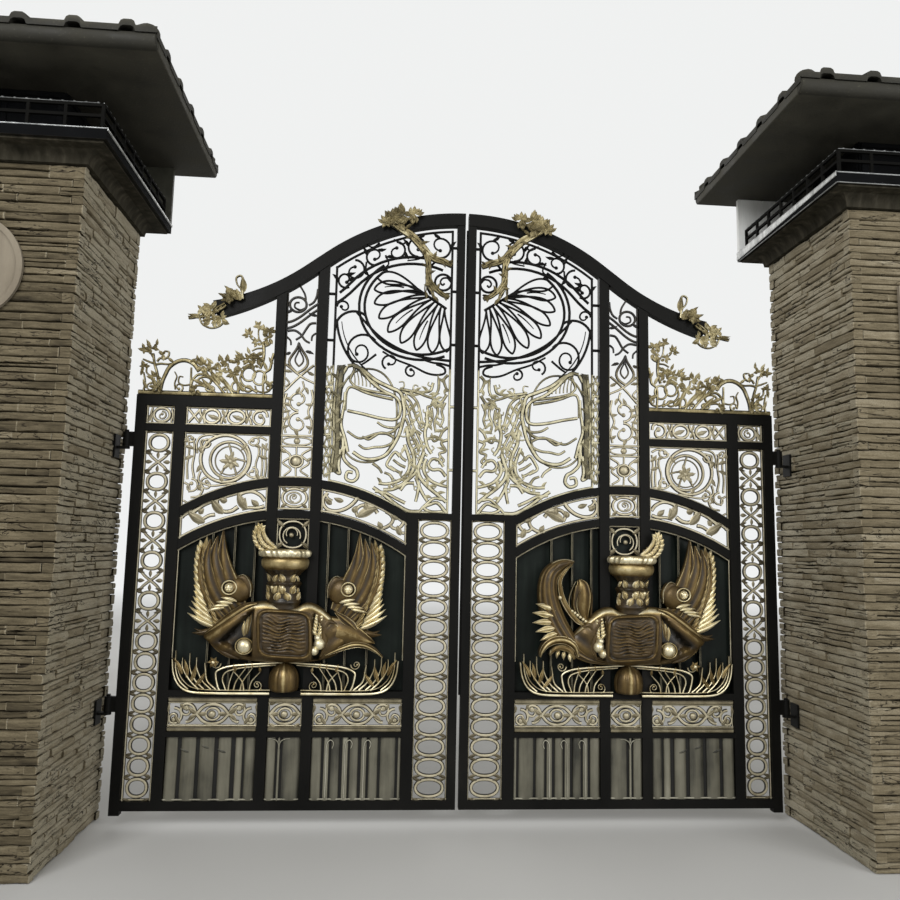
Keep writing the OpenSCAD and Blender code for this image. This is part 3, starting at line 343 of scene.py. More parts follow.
def direction(path, k):
    """The angle in degrees of a path at its point k."""
    d = path[k + 1] - path[k]
    return math.degrees(math.atan2(d[1], d[0]))


# Bars, leaves and turned pieces


def rod(shape, path, width, depth, y=LEAF_Y, loop=False, taper=1.0, rub=1.0):
    """Adds a flat bar with a rounded front, carried along a plane path: point + across * width *
    section x, with y + depth * section y behind it. The width falls to taper times itself at the end."""
    n = across(path, loop)
    w = width * np.linspace(1, taper, len(path))[:, None, None]
    flat = path[:, None, :] + n[:, None, :] * w * BAR_SECTION[None, :, :1]
    back = np.broadcast_to(y + depth * BAR_SECTION[:, 1], flat.shape[:2])
    shape.tube(np.stack([flat[..., 0], back, flat[..., 1]], -1), rub * BAR_RUB, loop=loop)


def bar(shape, a, b, width, depth=14.0, y=LEAF_Y, steps=3, rub=1.0):
    """A straight rod from a to b."""
    rod(shape, np.linspace(a, b, steps), width, depth, y, rub=rub)


def bent(shape, knots, count, width, depth, y=LEAF_Y, taper=1.0, rub=1.0):
    """A rod along the smooth curve through the knots, worked out at count places."""
    rod(shape, curve(*knots, count=count), width, depth, y, taper=taper, rub=rub)


def rods(shape, table, depth=16.0, y=LEAF_Y, taper=0.85, rub=1.0):
    """Rods along smooth curves. A row of the table is a width and the knots of its curve."""
    for width, *knots in table:
        bent(shape, knots, 5 * len(knots), width, depth, y, taper, rub)


def ring(shape, path, width, depth, y=LEAF_Y, rub=1.0):
    """A rod that closes on itself."""
    rod(shape, path, width, depth, y, True, 1.0, rub)


def scroll(shape, c, r, a, n, turn, width, depth, y=LEAF_Y):
    """A volute of bar that thins towards its eye, and ends there in a flattened knob."""
    path = volute(c, r, a, n, turn)
    rod(shape, path, width, depth, y, taper=0.7)
    boss(shape, path[-1], width * 0.85, depth * 0.62, y + depth * 0.08, 8, 3)
    return path


def boss(shape, c, r, out, y, count=14, steps=5, rub=(0.5, 1.0)):
    """A flattened round boss that stands out from y towards the front and as far behind: rings of
    radius r * sin(t) and depth out * cos(t), rubbed from rub[0] at the rim to rub[1] in the middle."""
    t = np.linspace(0, math.pi, steps + 2)[1:-1]
    a = np.linspace(0, TAU, count, endpoint=False)
    radius = r * np.sin(t)
    ahead = out * np.cos(t)
    level = np.broadcast_to((y - ahead)[:, None], (len(t), count))
    rings = np.stack([c[0] + radius[:, None] * np.cos(a), level, c[1] + radius[:, None] * np.sin(a)], -1)
    tone = rub[0] + (rub[1] - rub[0]) * np.clip(np.cos(t), 0, 1)
    shape.tube(rings, tone[:, None], (c[0], y - out, c[1]), (c[0], y + out, c[1]))


def blade(shape, spine, half, lift, thick, y=STILE_FRONT, curl=0.0, lobes=0, rub=1.0):
    """Adds a leaf or feather along a plane spine: across +-half * sin(pi * (0.94 s + 0.05)^0.8), notched
    by lobes along its edge, with a raised quill. Its middle stands lift in front of y and bends further
    forward by curl * s^2 towards the tip."""
    n = len(spine)
    s = np.linspace(0, 1, n)
    w = half * np.sin(math.pi * np.clip(s * 0.94 + 0.05, 0, 1) ** 0.8)
    if lobes:
        w = w * (0.72 + 0.28 * np.abs(np.sin(math.pi * lobes * s)))
    out = across(spine, False)
    wide = w[:, None] * BLADE_SECTION[None, :, 0]
    t = thick * (0.45 + 0.55 * np.sin(math.pi * s))[:, None]
    ahead = lift + curl * s[:, None] ** 2 + t * BLADE_SECTION[None, :, 1]
    flat = spine[:, None, :] + out[:, None, :] * wide[..., None]
    rings = np.stack([flat[..., 0], y - ahead, flat[..., 1]], -1)
    shape.tube(rings, rub * BLADE_RUB)


def leaf(
    shape, root, a, long, wide, bend=25.0, y=LEAF_Y - 6, thick=9.0, curl=0.0, lobes=3, lift=0.0, rub=1.0
):
    """A leaf from its root along angle a that turns by bend degrees towards its tip."""
    s = np.linspace(0, 1, 9 if lobes else 7)
    t = np.radians(a + bend * (s - 0.5))
    step = np.stack([np.cos(t), np.sin(t)], -1) * long / (len(s) - 1)
    spine = np.asarray(root) + np.concatenate([[[0, 0]], np.cumsum(step, 0)[:-1]])
    blade(shape, spine, wide / 2, lift, thick, y, curl, lobes, rub)


def plume(shape, knots, halves, rise, lift, grooves, deep, edge, tone, lean=0.0, count=30, wide=19):
    """Adds a swelling sheet along a plane spine, halves being its half width from end to end. At place
    p across, from -1 to 1, it stands lift + rise * (1 - |p|^2.4)^0.6 in front of the stiles, with waves
    deep mm high cut along it and rims edge mm higher, and it leans further forward by lean * s."""
    spine = curve(*knots, count=count)
    p = np.sin(np.linspace(-math.pi / 2, math.pi / 2, wide))
    s = np.linspace(0, 1, count)[:, None]
    half = np.interp(s[:, 0], np.linspace(0, 1, len(halves)), halves)[:, None]
    wave = np.cos(TAU * grooves * (p + 0.12 * np.sin(5 * s)) / 2) * (1 - p**2) ** 0.5 * (grooves > 0)
    rim = np.exp(-(((np.abs(p) - 0.86) / 0.08) ** 2))
    ends = np.sin(math.pi * np.clip(s, 0.03, 0.97)) ** 0.35
    ahead = lift + (rise * (1 - np.abs(p) ** 2.4) ** 0.6 + deep * wave + edge * rim) * ends + lean * s
    flat = spine[:, None, :] + across(spine, False)[:, None, :] * (half * p)[..., None]
    front = np.stack([flat[..., 0], STILE_FRONT - ahead, flat[..., 1]], -1)
    # Painted light: wave crests and rims are painted lighter as highlights, the wave troughs darker as
    # painted shade.
    rub = np.clip(tone[0] + tone[1] * (0.5 * wave + (edge > 0) * rim), 0.05, 1)
    shape.relief(front, STILE_FRONT, rub)


def cluster(shape, c, radius, count, size, y, seed, rub=1.0):
    """A clump of small rounded leaves round c: the i-th one sits at radius * sqrt(i / count), turned
    137.5 degrees on from the one before, and points outwards and forwards."""
    rng = np.random.default_rng(seed)
    for i in range(count):
        r = radius * math.sqrt((i + 0.4) / count)
        a = 137.5 * i + rng.uniform(-20, 20)
        root = np.array(c) + ray(r, a)
        long = size * rng.uniform(0.8, 1.25)
        root = root - ray(long * 0.3, a)
        a += rng.uniform(-30, 30)
        bend = rng.uniform(-30, 30)
        face = y - rng.uniform(0, 14) - 16 * (1 - r / radius)
        leaf(shape, root, a, long, long * 0.62, bend, face, 12, rng.uniform(0, 16), 0, 0.0, rub)


def turned(shape, c, profile, rub, ridges=None, depth=0.9, count=48):
    """Adds the front half of a turned piece on the upright line x = c: at height z its section is the
    half ellipse across r * cos(t), forward depth * r * sin(t), closed by a flat back, and ridges(t, z)
    is added to r. profile is rows of (r, z)."""
    t = np.linspace(0, math.pi, count)
    r = profile[:, :1] + (ridges(t[None, :], profile[:, 1:2]) if ridges else 0.0)
    x = c + r * np.cos(t)
    z = np.broadcast_to(profile[:, 1:2], x.shape)
    shape.tube(np.stack([x, STILE_FRONT - depth * r * np.sin(t), z], -1), rub)


# Finishes


class Finish:
    """A material in the making, whose patterns lie on Object coordinates in metres."""

    def __init__(self, name, colour, metallic=0.0, roughness=0.6, **sockets):
        self.material = bpy.data.materials.new(name)
        self.material.use_nodes = True
        self.tree = self.material.node_tree
        self.shader = next(node for node in self.tree.nodes if node.type == "BSDF_PRINCIPLED")
        self.shader.inputs["Base Color"].default_value = (*colour, 1)
        self.shader.inputs["Metallic"].default_value = metallic
        self.shader.inputs["Roughness"].default_value = roughness
        for socket, number in sockets.items():
            self.shader.inputs[socket.replace("_", " ")].default_value = number
        self.place = self.tree.nodes.new("ShaderNodeTexCoord").outputs["Object"]

    def value(self, kind, inputs, output=0, **settings):
        """Adds a node, gives each named input a number or links it to another node's output, and
        returns the output asked for."""
        node = self.tree.nodes.new("ShaderNode" + kind)
        for name, setting in settings.items():
            setattr(node, name, setting)
        for name, source in inputs.items():
            if isinstance(source, bpy.types.NodeSocket):
                self.tree.links.new(source, node.inputs[name])
            else:
                node.inputs[name].default_value = source
        return node.outputs[output]

    def noise(self, size, stretch=(1, 1, 1), detail=4.0, roughness=0.55, distort=0.0):
        """Cloudy noise with patches of the given size in metres, longer by stretch."""
        scale = tuple(1 / (size * part) for part in stretch)
        at = self.value("Mapping", {"Vector": self.place, "Scale": scale})
        return self.value(
            "TexNoise",
            {"Vector": at, "Scale": 1.0, "Detail": detail, "Roughness": roughness, "Distortion": distort}
        )

    def cells(self, size):
        """Distance from the middle of cells of the given size in metres."""
        at = self.value("Mapping", {"Vector": self.place, "Scale": (1 / size,) * 3})
        return self.value("TexVoronoi", {"Vector": at, "Scale": 1.0})

    def rub_and_painted_light(self):
        """The number that Shape keeps at each point: rub, tone, and on some pieces painted light."""
        return self.value("Attribute", {}, 2, attribute_name="rub_and_painted_light")

    def along(self, axis):
        """The place along an axis in metres: 0 to the right, 1 to the back, 2 upwards."""
        return self.value("SeparateXYZ", {"Vector": self.place}, axis)

    def maths(self, operation, a, b=0.0):
        """One operation on two numbers."""
        return self.value("Math", {0: a, 1: b}, operation=operation)

    def total(self, a, b, a_share=None, b_share=None):
        """The sum of two numbers, each times its share if one is given."""
        if a_share is not None:
            a = self.maths("MULTIPLY", a, a_share)
        if b_share is not None:
            b = self.maths("MULTIPLY", b, b_share)
        return self.maths("ADD", a, b)

    def span(self, source, low, high, to_low=0.0, to_high=1.0):
        """A number carried from the span low to high onto another span, and held at its ends."""
        return self.value(
            "MapRange",
            {"Value": source, "From Min": low, "From Max": high, "To Min": to_low, "To Max": to_high}
        )

    def ramp(self, source, *stops):
        """Colours along a number: rows of (place, red, green, blue)."""
        node = self.tree.nodes.new("ShaderNodeValToRGB")
        band = node.color_ramp
        while len(band.elements) < len(stops):
            band.elements.new(0.5)
        for element, stop in zip(band.elements, stops):
            element.position = stop[0]
            element.color = (*stop[1:], 1)
        self.tree.links.new(source, node.inputs[0])
        return node.outputs[0]

    def mix(self, factor, a, b):
        """The colour a where factor is 0, and b where it is 1."""
        node = self.tree.nodes.new("ShaderNodeMix")
        node.data_type = "RGBA"
        for socket, source in ((0, factor), (6, a), (7, b)):
            if isinstance(source, bpy.types.NodeSocket):
                self.tree.links.new(source, node.inputs[socket])
            else:
                node.inputs[socket].default_value = source if socket == 0 else (*source, 1)
        return node.outputs[2]

    def done(self, colour, roughness=None, bump=None, distance=0.002, strength=0.6, metallic=None):
        """Links what is given to the shader, with bump as a height of distance metres, and returns
        the material."""
        for name, source in (("Base Color", colour), ("Roughness", roughness), ("Metallic", metallic)):
            if source is not None:
                self.tree.links.new(source, self.shader.inputs[name])
        if bump is not None:
            normal = self.value("Bump", {"Height": bump, "Distance": distance, "Strength": strength})
            self.tree.links.new(normal, self.shader.inputs["Normal"])
        return self.material


def black_iron(name, gloss, dull):
    """Black paint on iron: faint brush marks, dust that dulls it in patches."""
    f = Finish(name, (0.006, 0.006, 0.0055), 0.0, 0.5, Specular_IOR_Level=gloss)
    dust = f.noise(0.35, (1, 1, 2.2), 6)
    grain = f.noise(0.006, (1, 1, 3), 3)
    colour = f.ramp(
        dust, (0.35, 0.003, 0.003, 0.0026), (0.62, 0.006, 0.0058, 0.005), (0.85, 0.017, 0.0155, 0.013)
    )
    rough = f.span(f.total(dust, grain, None, 0.5), 0.45, 1.0, 0.36 + dull, 0.62 + dull)
    return f.done(colour, rough, grain, 0.0006, 0.5)


def gold_over_black(name, tones, shine, metal_most, noise, painted_shade_above=None):
    """Old gold over black iron. The attribute of rub and painted light plus patches and fine grain picks one
    of five tones: paint left in the hollows, brown bronze, bronze, gold, and the pale gold of edges worn by
    rubbing; where the attribute carries painted light, the dark tones are painted shade and the pale ones
    painted highlights. Above a given height the colour is darkened towards the paint: painted shade, for
    the dark that the upper scrollwork shows against the bright sky."""
    f = Finish(name, tones[2], 0.6, shine)
    patch = f.noise(0.07, detail=5)
    fine = f.noise(0.006, detail=3)
    worn = f.total(f.rub_and_painted_light(), f.span(patch, 0.3, 0.7, -noise, noise))
    worn = f.total(worn, f.span(fine, 0.3, 0.7, -0.4 * noise, 0.4 * noise))
    # Painted shade: above the given height the gold is darkened towards the paint, for the dark that the
    # scrollwork shows against the bright sky.
    if painted_shade_above:
        painted_sky_shade = f.span(f.along(2), painted_shade_above - 0.1, painted_shade_above + 0.1, 0.0, 0.8)
        worn = f.maths("SUBTRACT", worn, painted_sky_shade)
    gold = f.ramp(worn, *[(place, *tone) for place, tone in zip((0.12, 0.34, 0.6, 0.84, 1.0), tones)])
    metal = f.span(worn, 0.15, 0.6, 0.1, metal_most)
    rough = f.span(f.total(fine, patch), 0.7, 1.3, shine - 0.06, shine + 0.2)
    return f.done(gold, rough, f.total(fine, patch, None, 0.6), 0.001, 0.4, metal)


def ledgestone():
    """Thin-bedded tan stone: the tone of each stone with the painted light and painted shade that it
    carries, layers drawn out along its bed, pale high spots, and dark cracks where the bed noise passes
    its middle."""
    f = Finish("ledgestone", (0.15, 0.125, 0.08), 0.0, 0.88, Specular_IOR_Level=0.2)
    beds = f.noise(0.012, (9, 9, 1), 5, 0.65)
    blotch = f.noise(0.1, (2.5, 2.5, 1), 5)
    grit = f.noise(0.004, (2.2, 2.2, 1), 3)
    breaks = f.noise(0.045, (5, 5, 1), 3, 0.6, 0.6)
    tone = f.total(f.rub_and_painted_light(), f.span(blotch, 0.25, 0.75, -0.14, 0.14))
    tone = f.total(tone, f.span(beds, 0.3, 0.7, -0.16, 0.16))
    colour = f.ramp(
        tone, (0.05, 0.014, 0.011, 0.006), (0.3, 0.085, 0.069, 0.041), (0.58, 0.176, 0.146, 0.092),
        (0.8, 0.25, 0.214, 0.145), (1.0, 0.36, 0.325, 0.24)
    )
    colour = f.mix(f.span(grit, 0.42, 0.62, 0.0, 0.3), colour, (0.05, 0.04, 0.025))
    crack = f.span(f.maths("ABSOLUTE", f.maths("SUBTRACT", breaks, 0.5)), 0.004, 0.014, 1.0, 0.0)
    crack = f.maths("MULTIPLY", crack, f.span(blotch, 0.47, 0.55))
    colour = f.mix(crack, colour, (0.02, 0.015, 0.009))
    height = f.total(beds, grit, 0.7, 0.3)
    height = f.maths("SUBTRACT", height, f.maths("MULTIPLY", crack, 0.6))
    return f.done(colour, f.span(grit, 0.3, 0.7, 0.78, 0.95), height, 0.006, 0.8)


def smooth_render():
    """Troweled render of the plaques: soft clouds, damp streaks and fine sand."""
    f = Finish("smooth_render", (0.22, 0.19, 0.14), 0.0, 0.85, Specular_IOR_Level=0.3)
    cloud = f.noise(0.3, (1, 1, 1.6), 5)
    streak = f.noise(0.035, (1, 1, 14), 4)
    sand = f.noise(0.0035, detail=2)
    colour = f.ramp(
        f.total(cloud, streak, 0.7, 0.3), (0.3, 0.13, 0.11, 0.08), (0.5, 0.21, 0.18, 0.135),
        (0.7, 0.27, 0.235, 0.18)
    )
    return f.done(colour, f.span(sand, 0.3, 0.7, 0.75, 0.95), f.total(sand, cloud, None, 0.8), 0.0015, 0.5)


def cap_paint():
    """Painted cove and ledge: grey-brown below, blue-black on the ledge above LEDGE_Z, with run-down
    dirt and a faint chalky bloom."""
    f = Finish("cap_paint", (0.03, 0.03, 0.028), 0.0, 0.8, Specular_IOR_Level=0.04)
    streak = f.noise(0.05, (1, 1, 8), 5)
    bloom = f.noise(0.22, detail=5)
    sand = f.noise(0.004, detail=2)
    cove = f.ramp(
        streak, (0.3, 0.018, 0.0165, 0.0115), (0.55, 0.04, 0.036, 0.026), (0.8, 0.085, 0.075, 0.056)
    )
    ledge = f.ramp(
        bloom, (0.35, 0.0025, 0.0027, 0.003), (0.6, 0.005, 0.0053, 0.006), (0.85, 0.018, 0.018, 0.018)
    )
    colour = f.mix(f.span(f.along(2), LEDGE_Z - 0.003, LEDGE_Z + 0.003), cove, ledge)
    return f.done(colour, f.span(bloom, 0.3, 0.7, 0.65, 0.9), f.total(sand, streak), 0.0012, 0.5)


def roof_tiles():
    """Dark weathered tiles: the tone of each tile, lichen specks."""
    f = Finish("dark_roof_tile", (0.04, 0.037, 0.03), 0.0, 0.72, Specular_IOR_Level=0.35)
    cloud = f.noise(0.18, detail=5)
    specks = f.noise(0.012, detail=3)
    tone = f.total(f.rub_and_painted_light(), cloud, 0.6, 0.5)
    colour = f.ramp(
        tone, (0.2, 0.011, 0.0105, 0.0075), (0.5, 0.026, 0.0245, 0.018), (0.8, 0.06, 0.056, 0.041)
    )
    colour = f.mix(f.span(specks, 0.62, 0.74, 0.0, 0.5), colour, (0.09, 0.087, 0.06))
    return f.done(colour, f.span(cloud, 0.3, 0.7, 0.6, 0.85), f.total(specks, cloud), 0.002, 0.5)


def painted_boards():
    """Painted boards, nearly white at the right pillar and dark olive at the left one: grain along the
    board, dirt in patches."""
    f = Finish("painted_boards", (0.5, 0.51, 0.5), 0.0, 0.55)
    grain = f.noise(0.008, (1, 1, 26), 5)
    dirt = f.noise(0.12, (1, 1, 2.5), 5)
    colour = f.ramp(
        f.total(grain, dirt, 0.35, 0.65), (0.28, 0.5, 0.5, 0.47), (0.5, 0.8, 0.81, 0.79),
        (0.75, 0.9, 0.91, 0.9)
    )
    olive = f.ramp(dirt, (0.3, 0.03, 0.03, 0.021), (0.6, 0.058, 0.057, 0.042), (0.8, 0.09, 0.088, 0.068))
    colour = f.mix(f.span(f.along(0), -0.1, 0.1), olive, colour)
    return f.done(colour, f.span(dirt, 0.3, 0.7, 0.45, 0.7), grain, 0.0012, 0.5)


def board_paint():
    """Grey-beige painted boards of the lowest bays: black where the gaps carry painted shade, lighter where
    the crowns and narrow boards carry painted highlights, pale on the foot strip, with soft rain streaks and
    clouds of dirt."""
    f = Finish("flute_board_paint", (0.12, 0.112, 0.085), 0.2, 0.42)
    streak = f.noise(0.03, (1, 1, 12), 4, 0.5)
    cloud = f.noise(0.16, (1, 1, 1.5), 4)
    weather = f.total(f.span(streak, 0.3, 0.7, -0.09, 0.09), f.span(cloud, 0.3, 0.7, -0.1, 0.1))
    tone = f.total(f.rub_and_painted_light(), weather)
    colour = f.ramp(
        tone, (0.12, 0.004, 0.004, 0.003), (0.3, 0.035, 0.034, 0.026), (0.5, 0.115, 0.109, 0.08),
        (0.75, 0.2, 0.19, 0.143), (1.0, 0.38, 0.365, 0.29)
    )
    return f.done(colour, f.span(cloud, 0.3, 0.7, 0.36, 0.6), f.total(streak, cloud), 0.0008, 0.3)


def sheet_paint():
    """Dark greenish painted sheet behind the crest, with a soft sheen and faint rain marks."""
    f = Finish("dark_sheet_paint", (0.008, 0.011, 0.009), 0.0, 0.5, Specular_IOR_Level=0.14)
    streak = f.noise(0.03, (1, 1, 12), 4)
    cloud = f.noise(0.25, detail=4)
    colour = f.ramp(
        f.total(streak, cloud, 0.5, 0.5), (0.3, 0.0035, 0.005, 0.004), (0.55, 0.007, 0.0105, 0.0085),
        (0.78, 0.018, 0.024, 0.019)
    )
    return f.done(colour, f.span(cloud, 0.3, 0.7, 0.32, 0.52), streak, 0.0008, 0.4)


def grey_flashing(name, tones):
    """Weathered grey metal trim: dull zinc with darker runs, and cells of another gloss."""
    f = Finish(name, tones[1][1:], 0.6, 0.45)
    run = f.noise(0.05, (1, 1, 4), 5)
    spangle = f.cells(0.012)
    colour = f.ramp(run, *tones)
    return f.done(colour, f.span(spangle, 0, 0.8, 0.36, 0.58), run, 0.0008, 0.4)


IRON = black_iron("black_iron_paint", 0.12, 0.04)
RAILING = black_iron("dull_railing_paint", 0.05, 0.25)
PATINA = gold_over_black(
    "gold_rubbed_iron",
    ((0.006, 0.0055, 0.005), (0.045, 0.036, 0.02), (0.17, 0.145, 0.088), (0.36, 0.32, 0.215),
     (0.56, 0.51, 0.37)),
    0.42, 0.6, 0.13, PAINTED_SHADE_FROM
)
VINE = gold_over_black(
    "olive_gold_vine",
    ((0.008, 0.008, 0.006), (0.05, 0.044, 0.024), (0.16, 0.142, 0.08), (0.37, 0.335, 0.21),
     (0.6, 0.56, 0.39)),
    0.42, 0.5, 0.25, PAINTED_SHADE_FROM
)
GILT = gold_over_black(
    "old_gilding",
    ((0.008, 0.006, 0.003), (0.055, 0.034, 0.011), (0.15, 0.1, 0.036), (0.5, 0.4, 0.2), (0.87, 0.8, 0.57)),
    0.36, 0.8, 0.1
)
LEAF_GOLD = gold_over_black(
    "weathered_gilding",
    ((0.01, 0.009, 0.005), (0.06, 0.047, 0.02), (0.16, 0.13, 0.06), (0.33, 0.275, 0.14), (0.62, 0.56, 0.36)),
    0.42, 0.6, 0.27
)
STONE = ledgestone()
RENDER = smooth_render()
CAP = cap_paint()
TILE = roof_tiles()
BOARDS = painted_boards()
FLUTES = board_paint()
SHEET = sheet_paint()
TRIM = grey_flashing(
    "grey_flashing", ((0.3, 0.13, 0.135, 0.135), (0.55, 0.3, 0.31, 0.31), (0.8, 0.42, 0.43, 0.43))
)
SILL = grey_flashing(
    "bright_flashing", ((0.3, 0.24, 0.245, 0.24), (0.55, 0.5, 0.51, 0.5), (0.8, 0.66, 0.67, 0.66))
)


# Panels of a leaf


def frame_lines(shape, xs, zs, width):
    """Four thin bars round a bay."""
    h = width / 2
    for x in (xs[0] + h, xs[1] - h):
        bar(shape, (x, zs[0]), (x, zs[1]), width)
    for z in (zs[0] + h, zs[1] - h):
        bar(shape, (xs[0], z), (xs[1], z), width)


def ring_strips():
    """Chains of thick oval rings between two lines, with leaves that fill the corners between them.
    From 1 m up, in every second place of the chain by the back stile two strands cross instead:
    x = m +- a * sin(pi * z / (pitch + 12))."""
    shape = Shape()
    for xs, zs, line in (((62, 270), (145, 1800), 9), (CHAIN, (145, 2300), 13)):
        frame_lines(shape, xs, zs, line)
        m, half = (xs[0] + xs[1]) / 2, (xs[1] - xs[0]) / 2 - line
        count = int((zs[1] - zs[0]) / 118)
        pitch = (zs[1] - zs[0] - 2 * line) / count
        for i in range(count):
            c = (m, zs[0] + line + (i + 0.5) * pitch)
            crossing = half < 90 and c[1] > 1000
            if crossing and i % 2 == 0:
                for s in (-1, 1):
                    z = np.linspace(-pitch / 2 - 6, pitch / 2 + 6, 13)
                    x = s * (half - 16) * np.sin(z / (pitch / 2 + 6) * math.pi / 2)
                    rod(shape, np.stack([m + x, c[1] + z], -1), 17, 18)
                    leaf(shape, (m + s * half, c[1]), 90 + s * 90, 42, 26, 0, lobes=0)
                    leaf(shape, (m, c[1] + s * pitch * 0.5), -s * 90, 42, 20, 0, lobes=0)
            else:
                squeeze = 0.94 if crossing or half < 90 else 1.0
                ring(shape, link(c, (half - 14) * squeeze, pitch / 2 - 10, 2.15, 24), 22, 20)
            for s in (-1, 1):
                for v in (-1, 1):
                    root = (m + s * (half + 2), c[1] + v * (pitch / 2 - 1))
                    angle = 90 + s * 90 - v * s * 14
                    leaf(shape, root, angle, half * 0.62, 19, v * s * 30, lobes=0, rub=0.75)
    both_leaves("ring_chains", shape, PATINA, ["ring_strips"])


def band():
    """Band between the flutes and the crest: two broad flat strips, and between them an eye with a
    thick lid, a scroll on each side of it and leaves in the corners."""
    shape = Shape()
    front, back = 281, 320
    for xs in BAYS:
        m, half = (xs[0] + xs[1]) / 2, (xs[1] - xs[0]) / 2
        long = half > 150
        for z, h in ((549, 28), (717, 30)):
            shape.blocks((xs[0], front, z - h / 2), (xs[1], back, z + h / 2), 0.66, 5)
            bar(shape, (xs[0], z + 8), (xs[1], z + 8), 4, 6, front, rub=0.3)
        frame_lines(shape, xs, (563, 702), 10)
        z = 632.5
        reach = 94 if long else half - 12
        for s in (-1, 1):
            lid = [(-reach, 0), (-reach * 0.55, s * 42), (0, s * 55), (reach * 0.55, s * 42), (reach, 0)]
            bent(shape, np.array(lid) + (m, z), 17, 23, 20)
        ring(shape, oval((m, z), 40, 34), 18, 18)
        boss(shape, (m + 5, z - 2), 23, 14, LEAF_Y)
        for s in (-1, 1):
            leaf(shape, (m + s * 36, z), 90 - s * 90, 50, 30, 0)
            if long:
                scroll(shape, (m + s * 152, z + 6), 52, -90, 3, -s, 22, 20)
                scroll(shape, (m + s * 222, z - 10), 44, 90, 3, s, 20, 20)
                leaf(shape, (m + s * 92, z + 4), 90 - s * 52, 66, 34, s * 30)
                leaf(shape, (m + s * 96, z - 6), 270 + s * 50, 60, 30, -s * 30)
                leaf(shape, (m + s * 184, z - 54), 90 - s * 30, 62, 30, s * 40)
                leaf(shape, (m + s * 252, z + 54), 270 + s * 30, 62, 28, s * 40)
                leaf(shape, (m + s * 188, z + 58), 270 - s * 30, 44, 24, s * 30)
            else:
                for v in (-1, 1):
                    leaf(shape, (m + s * (half - 12), z + v * 54), 90 + s * 90 - s * v * 35, 50, 26, 0)
    both_leaves("band_scrollwork", shape, PATINA, ["scroll_band"])


def boards():
    """Upright boards of the lowest bays with gaps between them, painted black as painted shade, and a pale
    strip along the foot. A board stands 4 + 9 * (1 - p^6) mm in front of the sheet at place p across it,
    from -1 to 1; its crown is painted lighter than its sides, and the narrow boards lighter still, as
    painted highlights. Towards the meeting stile thin rods with a crook stand before them, and a forked
    one in the middle bay."""
    shape = Shape()
    low, high = node_box("flute_panels_right")
    sheet = high[1] - 4
    z = np.array([low[2] + 1, low[2] + 2, (low[2] + high[2]) / 2, high[2] - 2, high[2] - 1])[:, None]
    edges = (
        (338, 356, 370, 460, 474, 528, 540, 574, 590, 640, 650, 684, 700, 752, 762, 792, 806, 867),
        (929, 1034, 1048, 1062, 1074, 1128),
        (1189, 1252, 1264, 1306, 1330, 1404, 1426, 1512, 1532, 1616, 1636, 1706)
    )
    places = np.array([-1, -0.97, -0.8, -0.4, 0, 0.4, 0.8, 0.97, 1])
    for ends in edges:
        x, rise, tone = [], [], []
        for k, (x0, x1) in enumerate(zip(ends[::2], ends[1::2])):
            x.extend((x0 + x1) / 2 + (x1 - x0) / 2 * places)
            rise.extend(np.where(np.abs(places) == 1, 0, 4 + 9 * (1 - places**6)))
            narrow = 0.2 * (x1 - x0 < 45)
            # Painted light: narrow boards and the crown of each board lighter as painted highlights, a tone
            # that steps from board to board, and black at the edges as painted shade in the gaps.
            shade = 0.36 + narrow + 0.07 * (k % 3) + 0.12 * (1 - places**2)
            tone.extend(np.where(np.abs(places) == 1, 0.0, shade))
        x, rise, tone = (np.broadcast_to(part, (5, len(part))) for part in (x, rise, tone))
        front = np.stack([x, sheet - rise, np.broadcast_to(z, x.shape)], -1)
        shape.relief(front, high[1] - 1, tone, 0.42)
        bar(shape, (ends[0], low[2] + 8), (ends[-1], low[2] + 8), 14, 14, sheet - 6, 4, 0.92)
    for x in (558, 668, 778):
        bent(
            shape,
            ((x, 160), (x - 2, 300), (x, 430), (x - 8, 476), (x - 28, 488), (x - 42, 468), (x - 34, 440)),
            24, 11, 10, sheet - 12, taper=0.8, rub=0.95
        )
    for s in (-1, 1):
        bent(
            shape, ((1054, 440), (1054 + s * 6, 474), (1054 + s * 30, 492), (1054 + s * 62, 496)), 12, 10,
            10, sheet - 12, rub=0.8
        )
    for x, z in ((1380, 428), (1476, 452), (1592, 430)):
        leaf(shape, (x - 22, z - 12), 24, 56, 16, 20, sheet - 12, 5, lobes=0, rub=0.5)
    both_leaves("board_panels", shape, FLUTES, ["flute_panels"])


